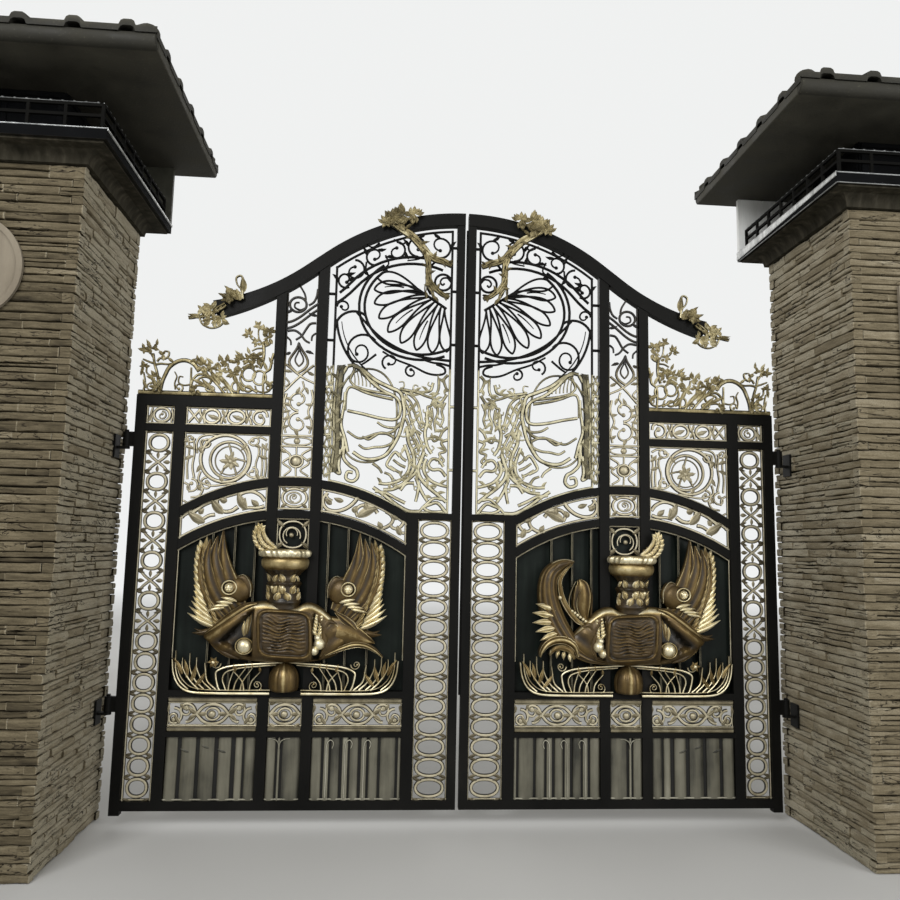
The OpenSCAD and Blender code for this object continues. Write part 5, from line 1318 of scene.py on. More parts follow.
def cresting():
    """Cresting on the shoulder: a broad strip, open loops and leaning leaves on it, leaf clumps over
    them, a thick arch on a post, an outer stem with curls, and beside stile b a tall stalk with branches
    that end in blossoms and buds."""
    shape = Shape()
    z = 2520
    bar(shape, (1189, z + 16), (2000, z + 16), 32, 22, rub=0.72)
    stems = (
        (18, (1194, 2810), (1206, 2760), (1214, 2710), (1246, 2680), (1252, 2620), (1246, 2540)),
        (22, (1262, 2880), (1256, 2820), (1258, 2760), (1274, 2710)),
        (12, (1256, 2850), (1226, 2864), (1212, 2890)),
        (12, (1262, 2840), (1300, 2836), (1330, 2820)),
        (11, (1270, 2870), (1290, 2900), (1296, 2940), (1294, 2972)),
        (11, (1280, 2890), (1310, 2884), (1334, 2896), (1350, 2914)),
        (12, (1252, 2872), (1240, 2910), (1252, 2944)),
        (14, (1200, 2600), (1214, 2572), (1246, 2560), (1286, 2570), (1300, 2600)),
        (17, (1284, 2560), (1330, 2584), (1370, 2600), (1392, 2640), (1380, 2690)),
        (17, (1400, 2550), (1404, 2600), (1428, 2650), (1462, 2690), (1474, 2734)),
        (17, (1430, 2546), (1470, 2590), (1506, 2640), (1520, 2700)),
        (17, (1486, 2548), (1530, 2600), (1574, 2640), (1610, 2690)),
        (18, (1530, 2600), (1580, 2650), (1640, 2660), (1676, 2630), (1688, 2580)),
        (16, (1540, 2548), (1590, 2580), (1640, 2590), (1676, 2576)),
        (15, (1691, 2540), (1690, 2620), (1692, 2700)),
        (29, (1642, 2680), (1676, 2722), (1724, 2744), (1776, 2736), (1822, 2700), (1846, 2650),
         (1862, 2600), (1870, 2540)),
        (11, (1692, 2594), (1730, 2588), (1762, 2604), (1760, 2640), (1738, 2640)),
        (10, (1780, 2560), (1786, 2600), (1776, 2640), (1790, 2670)),
        (20, (1884, 2540), (1884, 2600), (1896, 2660), (1914, 2716), (1926, 2780)),
        (15, (1906, 2712), (1876, 2718), (1836, 2716), (1806, 2722)),
        (15, (1910, 2716), (1944, 2726), (1984, 2742)),
        (14, (1900, 2730), (1884, 2752), (1858, 2748), (1836, 2764), (1832, 2792), (1856, 2798)),
        (14, (1926, 2760), (1950, 2790), (1980, 2792)),
        (13, (1896, 2650), (1930, 2640), (1958, 2660), (1960, 2690)),
        (13, (1970, 2540), (1964, 2600), (1976, 2660)),
    )
    rods(shape, stems, 20, LEAF_Y - 2, 0.75, 0.86)
    for x, zz, rx, rz in (
        (1276, 2652, 40, 44), (1342, 2672, 40, 42), (1416, 2590, 26, 30), (1608, 2620, 40, 26),
        (1572, 2572, 24, 16), (1342, 2580, 22, 18)
    ):
        ring(shape, oval((x, zz), rx, rz, 20), 14, 18, rub=0.92)
    for c, r, a, turn in (
        ((1218, 2600), 22, 90, 1), ((1480, 2566), 22, 90, -1), ((1930, 2586), 34, 90, 1),
        ((1760, 2570), 24, -90, -1)
    ):
        scroll(shape, c, r, a, 2, turn, 12, 18)
    clumps = (
        (1236, 2900, 34, 8), (1222, 2944, 18, 5), (1262, 2950, 18, 5), (1294, 2978, 17, 5),
        (1352, 2918, 25, 7), (1302, 2870, 18, 5), (1290, 2776, 30, 8), (1340, 2764, 34, 9),
        (1396, 2752, 28, 7), (1314, 2730, 26, 6), (1384, 2700, 26, 6), (1434, 2672, 28, 7),
        (1476, 2738, 26, 7), (1520, 2730, 30, 7), (1500, 2676, 24, 6), (1566, 2700, 24, 5),
        (1622, 2716, 34, 9), (1600, 2680, 20, 5), (1886, 2570, 30, 8), (1900, 2628, 22, 6),
        (1930, 2804, 28, 7), (1862, 2770, 16, 4), (1974, 2800, 20, 5), (1972, 2690, 18, 5),
        (1206, 2606, 14, 4), (1660, 2560, 20, 5)
    )
    for k, (x, up, radius, count) in enumerate(clumps):
        cluster(shape, (x, up), radius, count, 34, LEAF_Y - 10, 60 + k, rub=1.15)
    for x, zz, a, long, wide in (
        (1440, 2560, 58, 110, 30), (1470, 2600, 50, 110, 30), (1510, 2600, 56, 120, 32),
        (1548, 2560, 46, 110, 28), (1560, 2630, 40, 90, 26), (1400, 2600, 66, 100, 28),
        (1366, 2560, 60, 80, 26), (1610, 2600, 24, 80, 24), (1230, 2700, 70, 60, 22),
        (1196, 2740, 60, 50, 20), (1270, 2750, 60, 60, 26), (1420, 2740, 20, 56, 24),
        (1500, 2746, 60, 50, 22), (1560, 2730, 40, 54, 22), (1650, 2740, 80, 40, 20),
        (1700, 2730, 150, 50, 22), (1800, 2730, 40, 46, 20), (1950, 2560, 70, 60, 22),
        (1990, 2640, 110, 60, 20), (1906, 2830, 100, 40, 20), (1944, 2826, 60, 44, 20),
        (1340, 2800, 70, 44, 20), (1390, 2784, 40, 50, 20)
    ):
        gilt_leaf(shape, (x, zz), a, long, wide, lobes=0, rub=1.3, bend=16)
    both_leaves("cresting_branches", shape, LEAF_GOLD, ["shoulder_cresting"])


def strands(shape, knots, width, count):
    """A bundle of rods that wind round the same curve, as a gnarled stem: at s of its length the k-th
    of them is width / 2 * (0.9 - 0.4 * s) * sin(2 pi * (k / count + 1.1 * s)) to the side."""
    y, depth = 255.0, 26.0
    spine = curve(*knots, count=6 * len(knots))
    n = across(spine, False)
    s = np.linspace(0, 1, len(spine))[:, None]
    for k in range(count):
        shift = width * (0.9 - 0.4 * s) * np.sin(TAU * (k / count + s * 1.1)) * 0.5
        ahead = depth * 0.18 * math.cos(TAU * k / count)
        thick = width * (0.62 if k else 0.5)
        rod(shape, spine + n * shift, thick, depth, y - ahead, taper=0.6, rub=0.82 - 0.12 * (k % 2))


def sprays():
    """Gilt sprays in front of the camelback rail: a gnarled stem that comes down from the crown and
    forks over the fan, a tuft of rounded leaves on the rail, a curled leaf and two flat ones before the
    tail of the rail, and a clump of leaves round its end."""
    shape = Shape()
    strands(
        shape, ((505, 3705), (440, 3655), (345, 3590), (285, 3525), (225, 3465), (150, 3440), (96, 3418)),
        44, 5
    )
    strands(
        shape, ((300, 3540), (262, 3480), (246, 3420), (244, 3350), (225, 3290), (170, 3235), (110, 3205)),
        34, 4
    )
    strands(shape, ((246, 3380), (250, 3310), (220, 3240), (200, 3190)), 22, 3)
    strands(shape, ((246, 3360), (258, 3290), (262, 3210)), 18, 2)
    strands(shape, ((180, 3250), (140, 3225), (104, 3232)), 14, 2)
    for x, z, a, long in (
        (400, 3640, 150, 60), (350, 3600, 330, 54), (300, 3545, 170, 60), (268, 3512, 300, 50),
        (210, 3452, 110, 50), (160, 3440, 250, 54), (120, 3424, 150, 38), (245, 3400, 20, 46),
        (246, 3350, 160, 50), (228, 3290, 340, 50), (190, 3250, 120, 46), (140, 3216, 260, 44),
        (206, 3205, 240, 54), (258, 3230, 270, 50)
    ):
        gilt_leaf(shape, (x, z), a, long, 24, y=244, rub=0.85)
    tuft = (
        ((346, 3738), 38, 11, 44), ((420, 3736), 40, 12, 44), ((482, 3708), 38, 12, 44),
        ((440, 3680), 36, 10, 48), ((520, 3682), 24, 7, 38),
    )
    for k, clump in enumerate(tuft):
        cluster(shape, *clump, 250, 11 + k)
    for x, z, a in (
        (322, 3760, 130), (366, 3764, 90), (414, 3770, 95), (450, 3760, 60), (498, 3734, 50),
        (534, 3702, 20)
    ):
        gilt_leaf(shape, (x, z - 24), a, 44, 28, y=246, lobes=0)
    bent(
        shape,
        ((1392, 3136), (1398, 3186), (1392, 3240), (1410, 3284), (1440, 3270), (1432, 3228), (1404, 3196)),
        22, 16, 24, 252, taper=0.6
    )
    leaf(shape, (1400, 3172), 84, 108, 44, -40, 250, 16, 10, 0)
    for x, z, a, long in ((1420, 3128, 42, 120), (1450, 3120, 22, 100), (1410, 3124, 70, 74)):
        gilt_leaf(shape, (x, z), a, long, 44, y=246, thick=18, bend=-20)
    cluster(shape, (1478, 3150), 30, 8, 42, 248, 16)
    strands(shape, ((1500, 3100), (1545, 3060), (1600, 3026), (1660, 3012), (1716, 3006)), 26, 3)
    strands(shape, ((1550, 3080), (1590, 3075), (1630, 3046), (1625, 3000)), 18, 2)
    bent(shape, ((1494, 2992), (1530, 2956), (1580, 2944), (1630, 2966), (1650, 3004)), 16, 12, 20, 254)
    cluster(shape, (1520, 2998), 34, 8, 40, 246, 17, 1.2)
    cluster(shape, (1576, 2990), 38, 10, 42, 244, 18, 1.3)
    cluster(shape, (1580, 3056), 34, 9, 42, 244, 19, 1.2)
    cluster(shape, (1632, 3052), 22, 6, 38, 246, 20, 1.2)
    gilt_leaf(shape, (1640, 3016), 4, 76, 24, y=246, lobes=0, bend=10)
    both_leaves("gilt_sprays", shape, LEAF_GOLD, ["leaf_sprays"])


# Crest


def swag(shape):
    """Swelling body between an upper and a lower curve. It stands 12 + 92 * sqrt(1 - p^2) * (1 -
    |2v - 1|^3.4)^0.6 in front of the stiles, p being the place across from -1 to 1 and v the one from
    the lower to the upper curve, plus a rolled lip at the top and folds beside it, less two hollows."""
    x = np.linspace(668, 1516, 72)
    top = (
        (660, 1075), (700, 1130), (738, 1172), (785, 1214), (835, 1258), (885, 1284), (930, 1286),
        (975, 1264), (1040, 1262), (1100, 1282), (1155, 1294), (1225, 1287), (1290, 1266),
        (1350, 1234), (1420, 1186), (1475, 1140), (1520, 1098),
    )
    low = (
        (660, 1058), (720, 996), (790, 962), (870, 944), (960, 936), (1040, 934), (1150, 937),
        (1250, 944), (1330, 958), (1400, 984), (1460, 1024), (1520, 1080),
    )
    upper, lower = (np.interp(x, *curve(*line, count=140).T) for line in (top, low))
    v = (1 - np.cos(np.linspace(0, math.pi, 30)))[:, None] / 2
    z = lower + (upper - lower) * v
    p = (x - 1090.0) / 432
    swell = 92 * np.sqrt(np.clip(1 - p**2, 0, 1)) * (1 - np.abs(2 * v - 1) ** 3.4) ** 0.6
    lip = 15 * np.exp(-(((v - 0.94) / 0.055) ** 2))
    outer = np.clip((x - 1290) / 60, 0, 1)
    inner = np.clip((800 - x) / 50, 0, 1)
    folds = 9 * outer * np.cos(((x - 1290) * 0.75 + (z - 1100)) / 19) * np.sin(math.pi * v)
    folds = folds + 7 * inner * np.cos(((800 - x) * 0.8 - (z - 1100)) / 17) * np.sin(math.pi * v)
    right = ((1222, 1262), (1222, 958), (1424, 1060))
    left = ((884, 1262), (790, 1076), (838, 950), (884, 950))
    hollow = sum(52 * np.clip(depth_inside(x, z, corners) / 16, 0, 1) for corners in (right, left))
    ahead = np.maximum(6, 12 + swell + lip + folds - hollow)
    # Painted light: the rolled lip is painted pale as a highlight, the crests of the folds lighter and their
    # troughs darker, and the two hollows darker as painted shade.
    tone = np.clip(0.4 + 0.6 * (lip / 15) ** 1.5 + folds / 34 - hollow / 150, 0.08, 1)
    front = np.stack([np.broadcast_to(x, z.shape), STILE_FRONT - ahead, z], -1)
    shape.relief(front, STILE_FRONT, tone)


def tablet(shape):
    """Rounded tablet on the swag, its outline |u|^7 + |w|^7 = 1 for u across and w up, with a raised rim,
    a groove inside it, and a field of low waves: sines of w, bent by sines of u, that come and go."""
    u, w = np.meshgrid(np.linspace(-1, 1, 44), np.linspace(-1, 1, 96))
    d = (np.abs(u) ** 7 + np.abs(w) ** 7) ** (1 / 7)
    x = 1038 + 160 * u * (1 - 0.06 * w**6) + 8 * w
    z = 1108 + 140 * w * (1 - 0.08 * u**6) + 8 * u
    rim = 10 * np.exp(-(((d - 0.93) / 0.05) ** 2)) - 6 * np.exp(-(((d - 0.84) / 0.04) ** 2))
    sines = 8 * np.sin(46 * w + 3.6 * np.sin(3.7 * u + 2.2 * w) - 8 * u**2 + 1.6 * np.sin(9 * u))
    strength = np.clip(0.55 + 0.6 * np.sin(6.1 * u + 11 * w) * np.cos(5 * u - 7 * w), 0, 1)
    fade = np.clip(1.5 - 1.6 * (u**2 + w**2), 0, 1)
    waves = np.clip((0.78 - d) / 0.06, 0, 1) * np.clip(sines * strength * fade, -5, 3)
    swell = 92 * np.sqrt(np.clip(1 - (0.3 * u) ** 2, 0, 1)) * (1 - (0.5 * np.abs(w)) ** 3)
    ahead = np.minimum(12 + swell + 12 + rim + waves, 136)
    # Painted light: the raised rim and the crests of the waves are painted lighter as highlights, the groove
    # inside the rim and the wave troughs darker as painted shade.
    tone = np.clip(0.34 + rim / 40 + waves / 26, 0.06, 0.75)
    shape.relief(np.stack([x, STILE_FRONT - ahead, z], -1), STILE_FRONT - 40, tone)


def mantle():
    """Body of the crest: the swag with its tablet, flaps along its edges, balls and leaves in its
    hollows, and the neck over it."""
    shape = Shape()
    swag(shape)
    tablet(shape)
    upper = ((1206, 1282), (1270, 1262), (1350, 1210), (1430, 1150), (1504, 1100))
    lower = ((1300, 960), (1370, 985), (1440, 1030), (1498, 1088))
    inner = ((742, 1168), (790, 1176), (812, 1120), (804, 1040), (828, 978))
    plume(shape, upper, (5, 22, 27, 22, 3), 26, 72, 1, 5, 8, (0.42, 0.62), lean=-40)
    plume(shape, lower, (4, 16, 15, 3), 18, 50, 0, 0, 6, (0.34, 0.4), lean=-26)
    plume(shape, inner, (4, 22, 18, 14, 4), 22, 52, 0, 0, 6, (0.4, 0.4), lean=14)
    for c, r in (((836, 1052), 34), ((864, 1014), 28), ((846, 1088), 22), ((1270, 1036), 42)):
        boss(shape, c, r, 36, STILE_FRONT - 74, 20, 7, (0.9, 1.0))
    ring(shape, oval((1270, 1036), 50, 46), 11, 30, STILE_FRONT - 70, 0.9)
    face = STILE_FRONT - 66
    for i in range(6):
        for k in range(2):
            root = (846 + 12 * k - 2 * i, 1096 + 20 * i + 8 * k)
            leaf(shape, root, 128 - 76 * k, 36 - 2 * i, 26, 10, face, 16, 6, 0, 0, 1.45)
    for knots in (((824, 1186), (820, 1130), (822, 1070)), ((880, 1206), (884, 1140), (880, 1060))):
        bent(shape, knots, 8, 7, 16, face, taper=0.6)
    for k in range(3):
        knots = ((1240 + 20 * k, 1230 - 26 * k), (1250 + 18 * k, 1170 - 18 * k), (1262 + 8 * k, 1084))
        plume(shape, knots, (3, 10, 4), 14, 36, 0, 0, 4, (0.55 + 0.15 * k, 0.5), count=12, wide=7)
    cap_and_neck(shape)
    both_leaves("crest_body", shape, GILT, ["crest_shield"], 50)


def cap_and_neck(shape):
    """Neck in two tiers with leaves in relief between flared collars, the smooth bowl over it with a
    ruffled lip, and the plume of scales that rises from the bowl's outer side."""
    m = 1062.0
    z = np.linspace(1250, 1482, 48)
    r = 92.0
    for height, out, spread in ((1290, 9, 12), (1398, 10, 9), (1482, 24, 18), (1434, -9, 18)):
        r = r + out * np.exp(-(((z - height) / spread) ** 2))

    def teeth(t, height):
        """Scalloped edges of the middle collar and of the upper one."""
        middle = 5 * np.abs(np.sin(8 * t)) * (np.abs(height - 1398) < 12)
        return middle + 6 * np.abs(np.sin(7 * t)) * (height > 1452)

    # The neck is given a dark tone: painted shade between the leaves in relief on it.
    turned(shape, m, np.stack([r, z], -1), 0.22, teeth, count=44)
    for tier, (foot, long, wide, number) in enumerate((
        (1296, 58, 52, 4), (1338, 56, 50, 5), (1404, 56, 42, 5)
    )):
        for i in range(number):
            t = math.pi * (i + 0.5) / number
            root = (m + 86 * math.cos(t), foot)
            away = STILE_FRONT - 0.9 * 86 * math.sin(t)
            side = 1 if i % 2 else -1
            breadth = wide * (0.5 + 0.5 * math.sin(t))
            leaf(shape, root, 90 + 24 * side, long, breadth, 30 * side, away, 24, 8, 0, 0, 1.25)
            if tier == 0 and i < number - 1:
                t = math.pi * (i + 1) / number
                away = STILE_FRONT - 0.9 * 92 * math.sin(t)
                boss(shape, (m + 92 * math.cos(t), 1376), 13, 16, away, 10, 4, (0.8, 1))
    bowl = (
        (96, 1472), (116, 1477), (131, 1488), (139, 1505), (142, 1522), (140, 1538), (131, 1548),
        (124, 1553)
    )
    turned(
        shape, m, np.array(bowl, float), np.array([0.3, 0.48, 0.66, 0.78, 0.8, 0.68, 0.48, 0.3])[:, None]
    )
    lip = (
        (112, 1546), (132, 1552), (146, 1560), (152, 1572), (153, 1584), (146, 1595), (126, 1601),
        (70, 1603)
    )
    zone = np.array([0.2, 0.7, 1, 1, 1, 0.8, 0.4, 0.1])[:, None]

    def ruffle(t, height):
        """Folds of the lip, strongest where it stands out furthest."""
        return zone * (6 * np.sin(9 * t + 1) + 5 * np.sin(23 * t + 0.06 * height))

    turned(shape, m, np.array(lip, float), 0.55 + 0.45 * zone, ruffle, count=60)
    spine = curve(
        (1112, 1590), (1146, 1600), (1184, 1622), (1212, 1658), (1222, 1700), (1210, 1738), count=22
    )
    blade(shape, spine, 46, 16, 32, lobes=6, rub=0.6)
    for k in range(2, 21, 2):
        d = spine[k + 1] - spine[k - 1]
        a = math.degrees(math.atan2(d[1], d[0]))
        for off in (-18, 0, 18):
            root = spine[k] + ray(1.3 * off * math.sin(math.pi * (k + 1) / 23), a + 90) - ray(12, a)
            face = STILE_FRONT - 44 + abs(off) * 0.4
            leaf(shape, root, a + off * 1.6, 38, 26, 0, face, 16, 8, 0, 0, 1.4)


def swan_wing(shape, front):
    """A broad swan-necked swoosh with grooves along it, an inner leaf, feather tips below it, and two
    plumes that curl outwards and down beside the body with four small tips under them."""
    plume(
        shape,
        ((985, 950), (880, 962), (780, 990), (690, 1048), (620, 1130), (568, 1225), (540, 1320),
         (534, 1410), (552, 1480), (600, 1526), (650, 1550), (694, 1560)),
        (6, 22, 38, 54, 68, 72, 66, 60, 54, 44, 28, 5), 58, 10, 4, 4, 6, (0.4, 0.3), count=56, wide=33
    )
    plume(
        shape,
        ((772, 1168), (716, 1200), (664, 1260), (624, 1330), (606, 1400), (606, 1450), (640, 1506),
         (688, 1552)),
        (4, 14, 17, 17, 14, 12, 10, 3), 26, 34, 0, 0, 6, (0.62, 0.4), count=34
    )
    bent(
        shape, ((694, 1562), (640, 1572), (580, 1558), (530, 1520), (500, 1462)), 16, 9, 24, front - 24,
        taper=0.7
    )
    plume(
        shape, ((560, 1500), (600, 1534), (650, 1552), (690, 1560)), (6, 15, 12, 3), 14, 58, 0, 0, 6,
        (0.35, 0.5), count=14
    )
    boss(shape, (606, 1342), 15, 16, front - 44, 12, 5, (0.8, 1))
    plume(
        shape, ((784, 1176), (752, 1236), (744, 1300), (748, 1366), (744, 1418), (730, 1452)),
        (10, 42, 60, 58, 44, 8), 38, 6, 1, 5, 8, (0.42, 0.5), lean=6
    )
    bent(
        shape, ((782, 1190), (716, 1208), (672, 1262), (664, 1330), (684, 1400), (706, 1440)), 24, 10, 30,
        front - 26, taper=0.7
    )
    bent(
        shape, ((752, 1206), (720, 1250), (708, 1300), (716, 1350), (734, 1392)), 16, 8, 20, front - 44,
        taper=0.5, rub=0.95
    )
    for k in range(6):
        boss(shape, (680 + 17 * k, 1262 - 12 * k), 11, 12, front - 44, 8, 3, (0.85, 1))
    plume(
        shape, ((800, 1200), (806, 1280), (808, 1350), (796, 1420)), (4, 9, 8, 2), 26, 6, 0, 0, 0,
        (0.35, 0.3), count=14, wide=9
    )
    tips = (
        (578, 1262, 163, 116), (568, 1228, 172, 124), (566, 1192, 182, 118), (576, 1160, 192, 112),
        (592, 1130, 203, 104)
    )
    for k, (x, z, a, long) in enumerate(tips):
        leaf(shape, (x, z), a, long + 16, 38, 14, front - 52, 26, 8, 0, 4 * (k % 2), 1.35)
    plume(
        shape, ((716, 992), (694, 1050), (640, 1086), (574, 1088), (522, 1062), (492, 1022), (484, 988)),
        (8, 20, 25, 25, 21, 14, 5), 30, 50, 1, 5, 6, (0.5, 0.7)
    )
    plume(
        shape, ((690, 980), (664, 1026), (612, 1046), (566, 1036), (540, 1000)), (6, 15, 17, 13, 4), 24, 66,
        0, 0, 5, (0.6, 0.5), count=20, wide=11
    )
    for x, z, a in ((600, 1012, 250), (632, 1006, 262), (664, 994, 275), (570, 1020, 235)):
        leaf(shape, (x, z + 18), a, 52, 24, 30, front - 60, 22, 8, 0, 0, 1.35)


def ladder_wing(shape, front):
    """Tall plates, a ringed ball on a round head, and a ladder of barbs that grow steeper and shorter
    upwards."""
    plates = (
        (((1300, 1240), (1352, 1330), (1402, 1440), (1432, 1560), (1436, 1706)), (30, 62, 54, 34, 3), 6),
        (((1330, 1225), (1404, 1330), (1456, 1440), (1484, 1550), (1466, 1672)), (30, 56, 52, 36, 3), 12),
        (((1372, 1205), (1450, 1310), (1504, 1420), (1524, 1530), (1506, 1650)), (26, 48, 46, 32, 3), 18),
        (((1410, 1180), (1492, 1285), (1546, 1390), (1566, 1500), (1556, 1610)), (24, 42, 38, 26, 3), 12),
    )
    for knots, halves, lift in plates:
        plume(shape, knots, halves, 24, lift, 2, 4, 5, (0.4, 0.42), lean=4)
    plume(
        shape, ((1262, 1318), (1270, 1372), (1300, 1420), (1350, 1428)), (8, 26, 26, 10), 28, 8, 0, 0, 6,
        (0.35, 0.4), count=18, wide=11
    )
    boss(shape, (1336, 1352), 80, 46, front - 6, 28, 9, (0.3, 0.5))
    boss(shape, (1378, 1370), 28, 26, front - 46, 16, 7, (0.9, 1))
    ring(shape, oval((1378, 1370), 42, 40), 13, 26, front - 42)
    for i in range(6):
        boss(shape, np.array((1378, 1370)) + ray(16, 60 * i), 7, 10, front - 68, 8, 3, (0.9, 1))
    bent(
        shape, ((1256, 1318), (1256, 1380), (1276, 1424), (1304, 1446), (1330, 1436)), 12, 9, 26,
        front - 22, taper=0.6
    )
    rungs = (
        (1452, 1138, 28, 182), (1460, 1160, 35, 176), (1474, 1188, 41, 158), (1492, 1222, 46, 134),
        (1508, 1262, 50, 116), (1522, 1302, 53, 104), (1535, 1346, 56, 94), (1546, 1392, 58, 84),
        (1554, 1436, 60, 76), (1560, 1480, 62, 68), (1562, 1522, 66, 62), (1562, 1562, 72, 58),
        (1556, 1598, 80, 50)
    )
    for i, (x, z, a, long) in enumerate(rungs):
        leaf(shape, (x, z), a, long, 36 - i * 0.6, 16, front, 32, 8, 0, 22 - i * 0.6, 1.5)
        leaf(shape, (x - 26, z + 8), a + 16, 66, 22, 20, front, 20, 6, 0, 34 - i, 1.1)
    for k in range(4):
        leaf(
            shape, (1330 + 24 * k, 1290 - 13 * k), 12 - 8 * k, 96, 22, -16, front, 20, 6, 0, 52 - 3 * k, 1.5
        )
    leaf(shape, (1440, 1130), -8, 150, 40, 34, front, 24, 6, 0, 6, 0.6)
    leaf(shape, (1450, 1092), 18, 130, 30, 26, front, 20, 6, 0, 4, 0.5)


def wings():
    """Feathered wings. The right crest has the swan-necked one towards the meeting stile and the one
    with the ladder of barbs on the outer side; the left crest has a ladder wing on both sides, the
    inner one on a plump flank."""
    right, left = Shape(), Shape()
    swan_wing(right, STILE_FRONT)
    ladder_wing(right, STILE_FRONT)
    ladder_wing(left, STILE_FRONT)
    left.double(ARCH_X)
    plume(
        left, ((850, 1090), (780, 1112), (700, 1110), (620, 1090), (556, 1070), (512, 1054)),
        (70, 96, 90, 62, 30, 4), 48, 14, 1, 5, 8, (0.42, 0.5)
    )
    plume(
        left, ((800, 985), (720, 1020), (640, 1046), (570, 1044), (510, 1016), (462, 975)),
        (6, 15, 19, 17, 12, 4), 26, 46, 1, 5, 6, (0.5, 0.7)
    )
    plume(
        left, ((752, 1236), (700, 1196), (650, 1160), (612, 1126)), (6, 26, 26, 5), 24, 34, 2, 4, 4,
        (0.45, 0.5)
    )
    for side, shape in (("right", right), ("left", left)):
        make(
            "crest_feathers_" + side, shape, GILT, side + "_leaf", ["crest_wings_" + side],
            side == "left", 50
        )


def feet():
    """Foot of the crest: a ribbed egg on the lock rail, and reeds that fan out of a boat-shaped base
    line with raised ends, under two long lines that meet at the egg."""
    shape = Shape()
    y, depth = STILE_FRONT - 12, 24
    steps = np.array(
        [(66, 770), (80, 776), (86, 792), (88, 812), (89, 834), (86, 860), (78, 884), (64, 904), (45, 922),
         (24, 934), (5, 941)],
        float
    )
    angle = np.linspace(0, math.pi, 57)
    # A painted highlight: a bright upright streak down the front of the egg, with faint bands round it.
    streak = 0.42 + 0.5 * np.exp(-(((angle - 1.62) / 0.16) ** 2)) + 0.12 * np.cos(angle * 6)

    def ribs(t, z):
        """Four grooves down the egg, shallower where it is narrow."""
        return -4 * np.exp(-((np.mod(t / math.pi * 4, 1) - 0.5) ** 2) / 0.01) * (steps[:, :1] / 90)

    turned(shape, ARCH_X + 12, steps, streak, ribs, 0.92, 57)
    for s in (-1, 1):

        def at(*points):
            """Points given by their distance from the middle, on this side of it."""
            return [(ARCH_X + s * px, pz) for px, pz in points]

        bent(
            shape, at((92, 757), (380, 757), (540, 764), (612, 800), (648, 868), (660, 950)), 30, 22, 30, y,
            taper=0.6
        )
        bent(
            shape, at((90, 778), (360, 776), (520, 786), (590, 830), (622, 890), (628, 940)), 30, 10, 24,
            y - 3, taper=0.6
        )
        tall = (
            (470, (560, 985)), (430, (520, 960)), (500, (600, 960)), (560, (640, 1000)), (400, (470, 930))
        )
        for k, (foot, tip) in enumerate(tall):
            bent(
                shape, at((foot, 780), (foot + 52, 830), (tip[0] - 4, 900), tip), 14, 15, depth, y - 2 * k,
                taper=0.5
            )
        line = (
            (20, 938), (120, 930), (240, 922), (340, 910), (400, 884), (404, 850), (392, 800), (380, 776)
        )
        bent(shape, at(*line), 26, 15, depth, y - 4)
        bent(
            shape, at((60, 922), (160, 914), (270, 902), (345, 880), (366, 840), (350, 790), (345, 776)),
            24, 12, depth, y - 2
        )
        scroll(shape, (ARCH_X + s * 404, 928), 26, -90 - 90 * s, 3, s, 9, 20, y - 6)
        low = (
            (300, (236, 900)), (262, (196, 904)), (330, (300, 896)), (210, (150, 880)), (240, (300, 880))
        )
        for foot, tip in low:
            bent(
                shape, at((foot, 772), (foot + (tip[0] - foot) * 0.2, 825), tip), 9, 14, depth, y, taper=0.6
            )
            leaf(shape, at(tip)[0], 90 - s * (8 if tip[0] < foot else -20), 34, 16, 0, y - 8, 12, lobes=0)
        for k in range(4):
            root = at((520 + 26 * k, 800 + 22 * k))[0]
            leaf(shape, root, 90 + s * (34 - 22 * k), 108, 24, -20 * s, y - 8, 14, 6, 0)
        scroll(shape, (ARCH_X + s * 165, 800), 26, -90, 3, -s, 8, 18, y - 4)
    for i in range(6):
        leaf(shape, (1450, 936), 60 * i, 34, 20, 0, y - 16, 14, 4, 0)
    boss(shape, (1450, 936), 13, 14, y - 22, 10, 5, (0.8, 1))
    both_leaves("crest_reeds", shape, GILT, ["crest_feet"], 50)


# Pillars, caps and roofs


def node_box(node):
    """Lowest and highest corner of a CAD node in millimetres."""
    low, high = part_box(node)
    millimetres = 1000
    return np.array(low) * millimetres, np.array(high) * millimetres


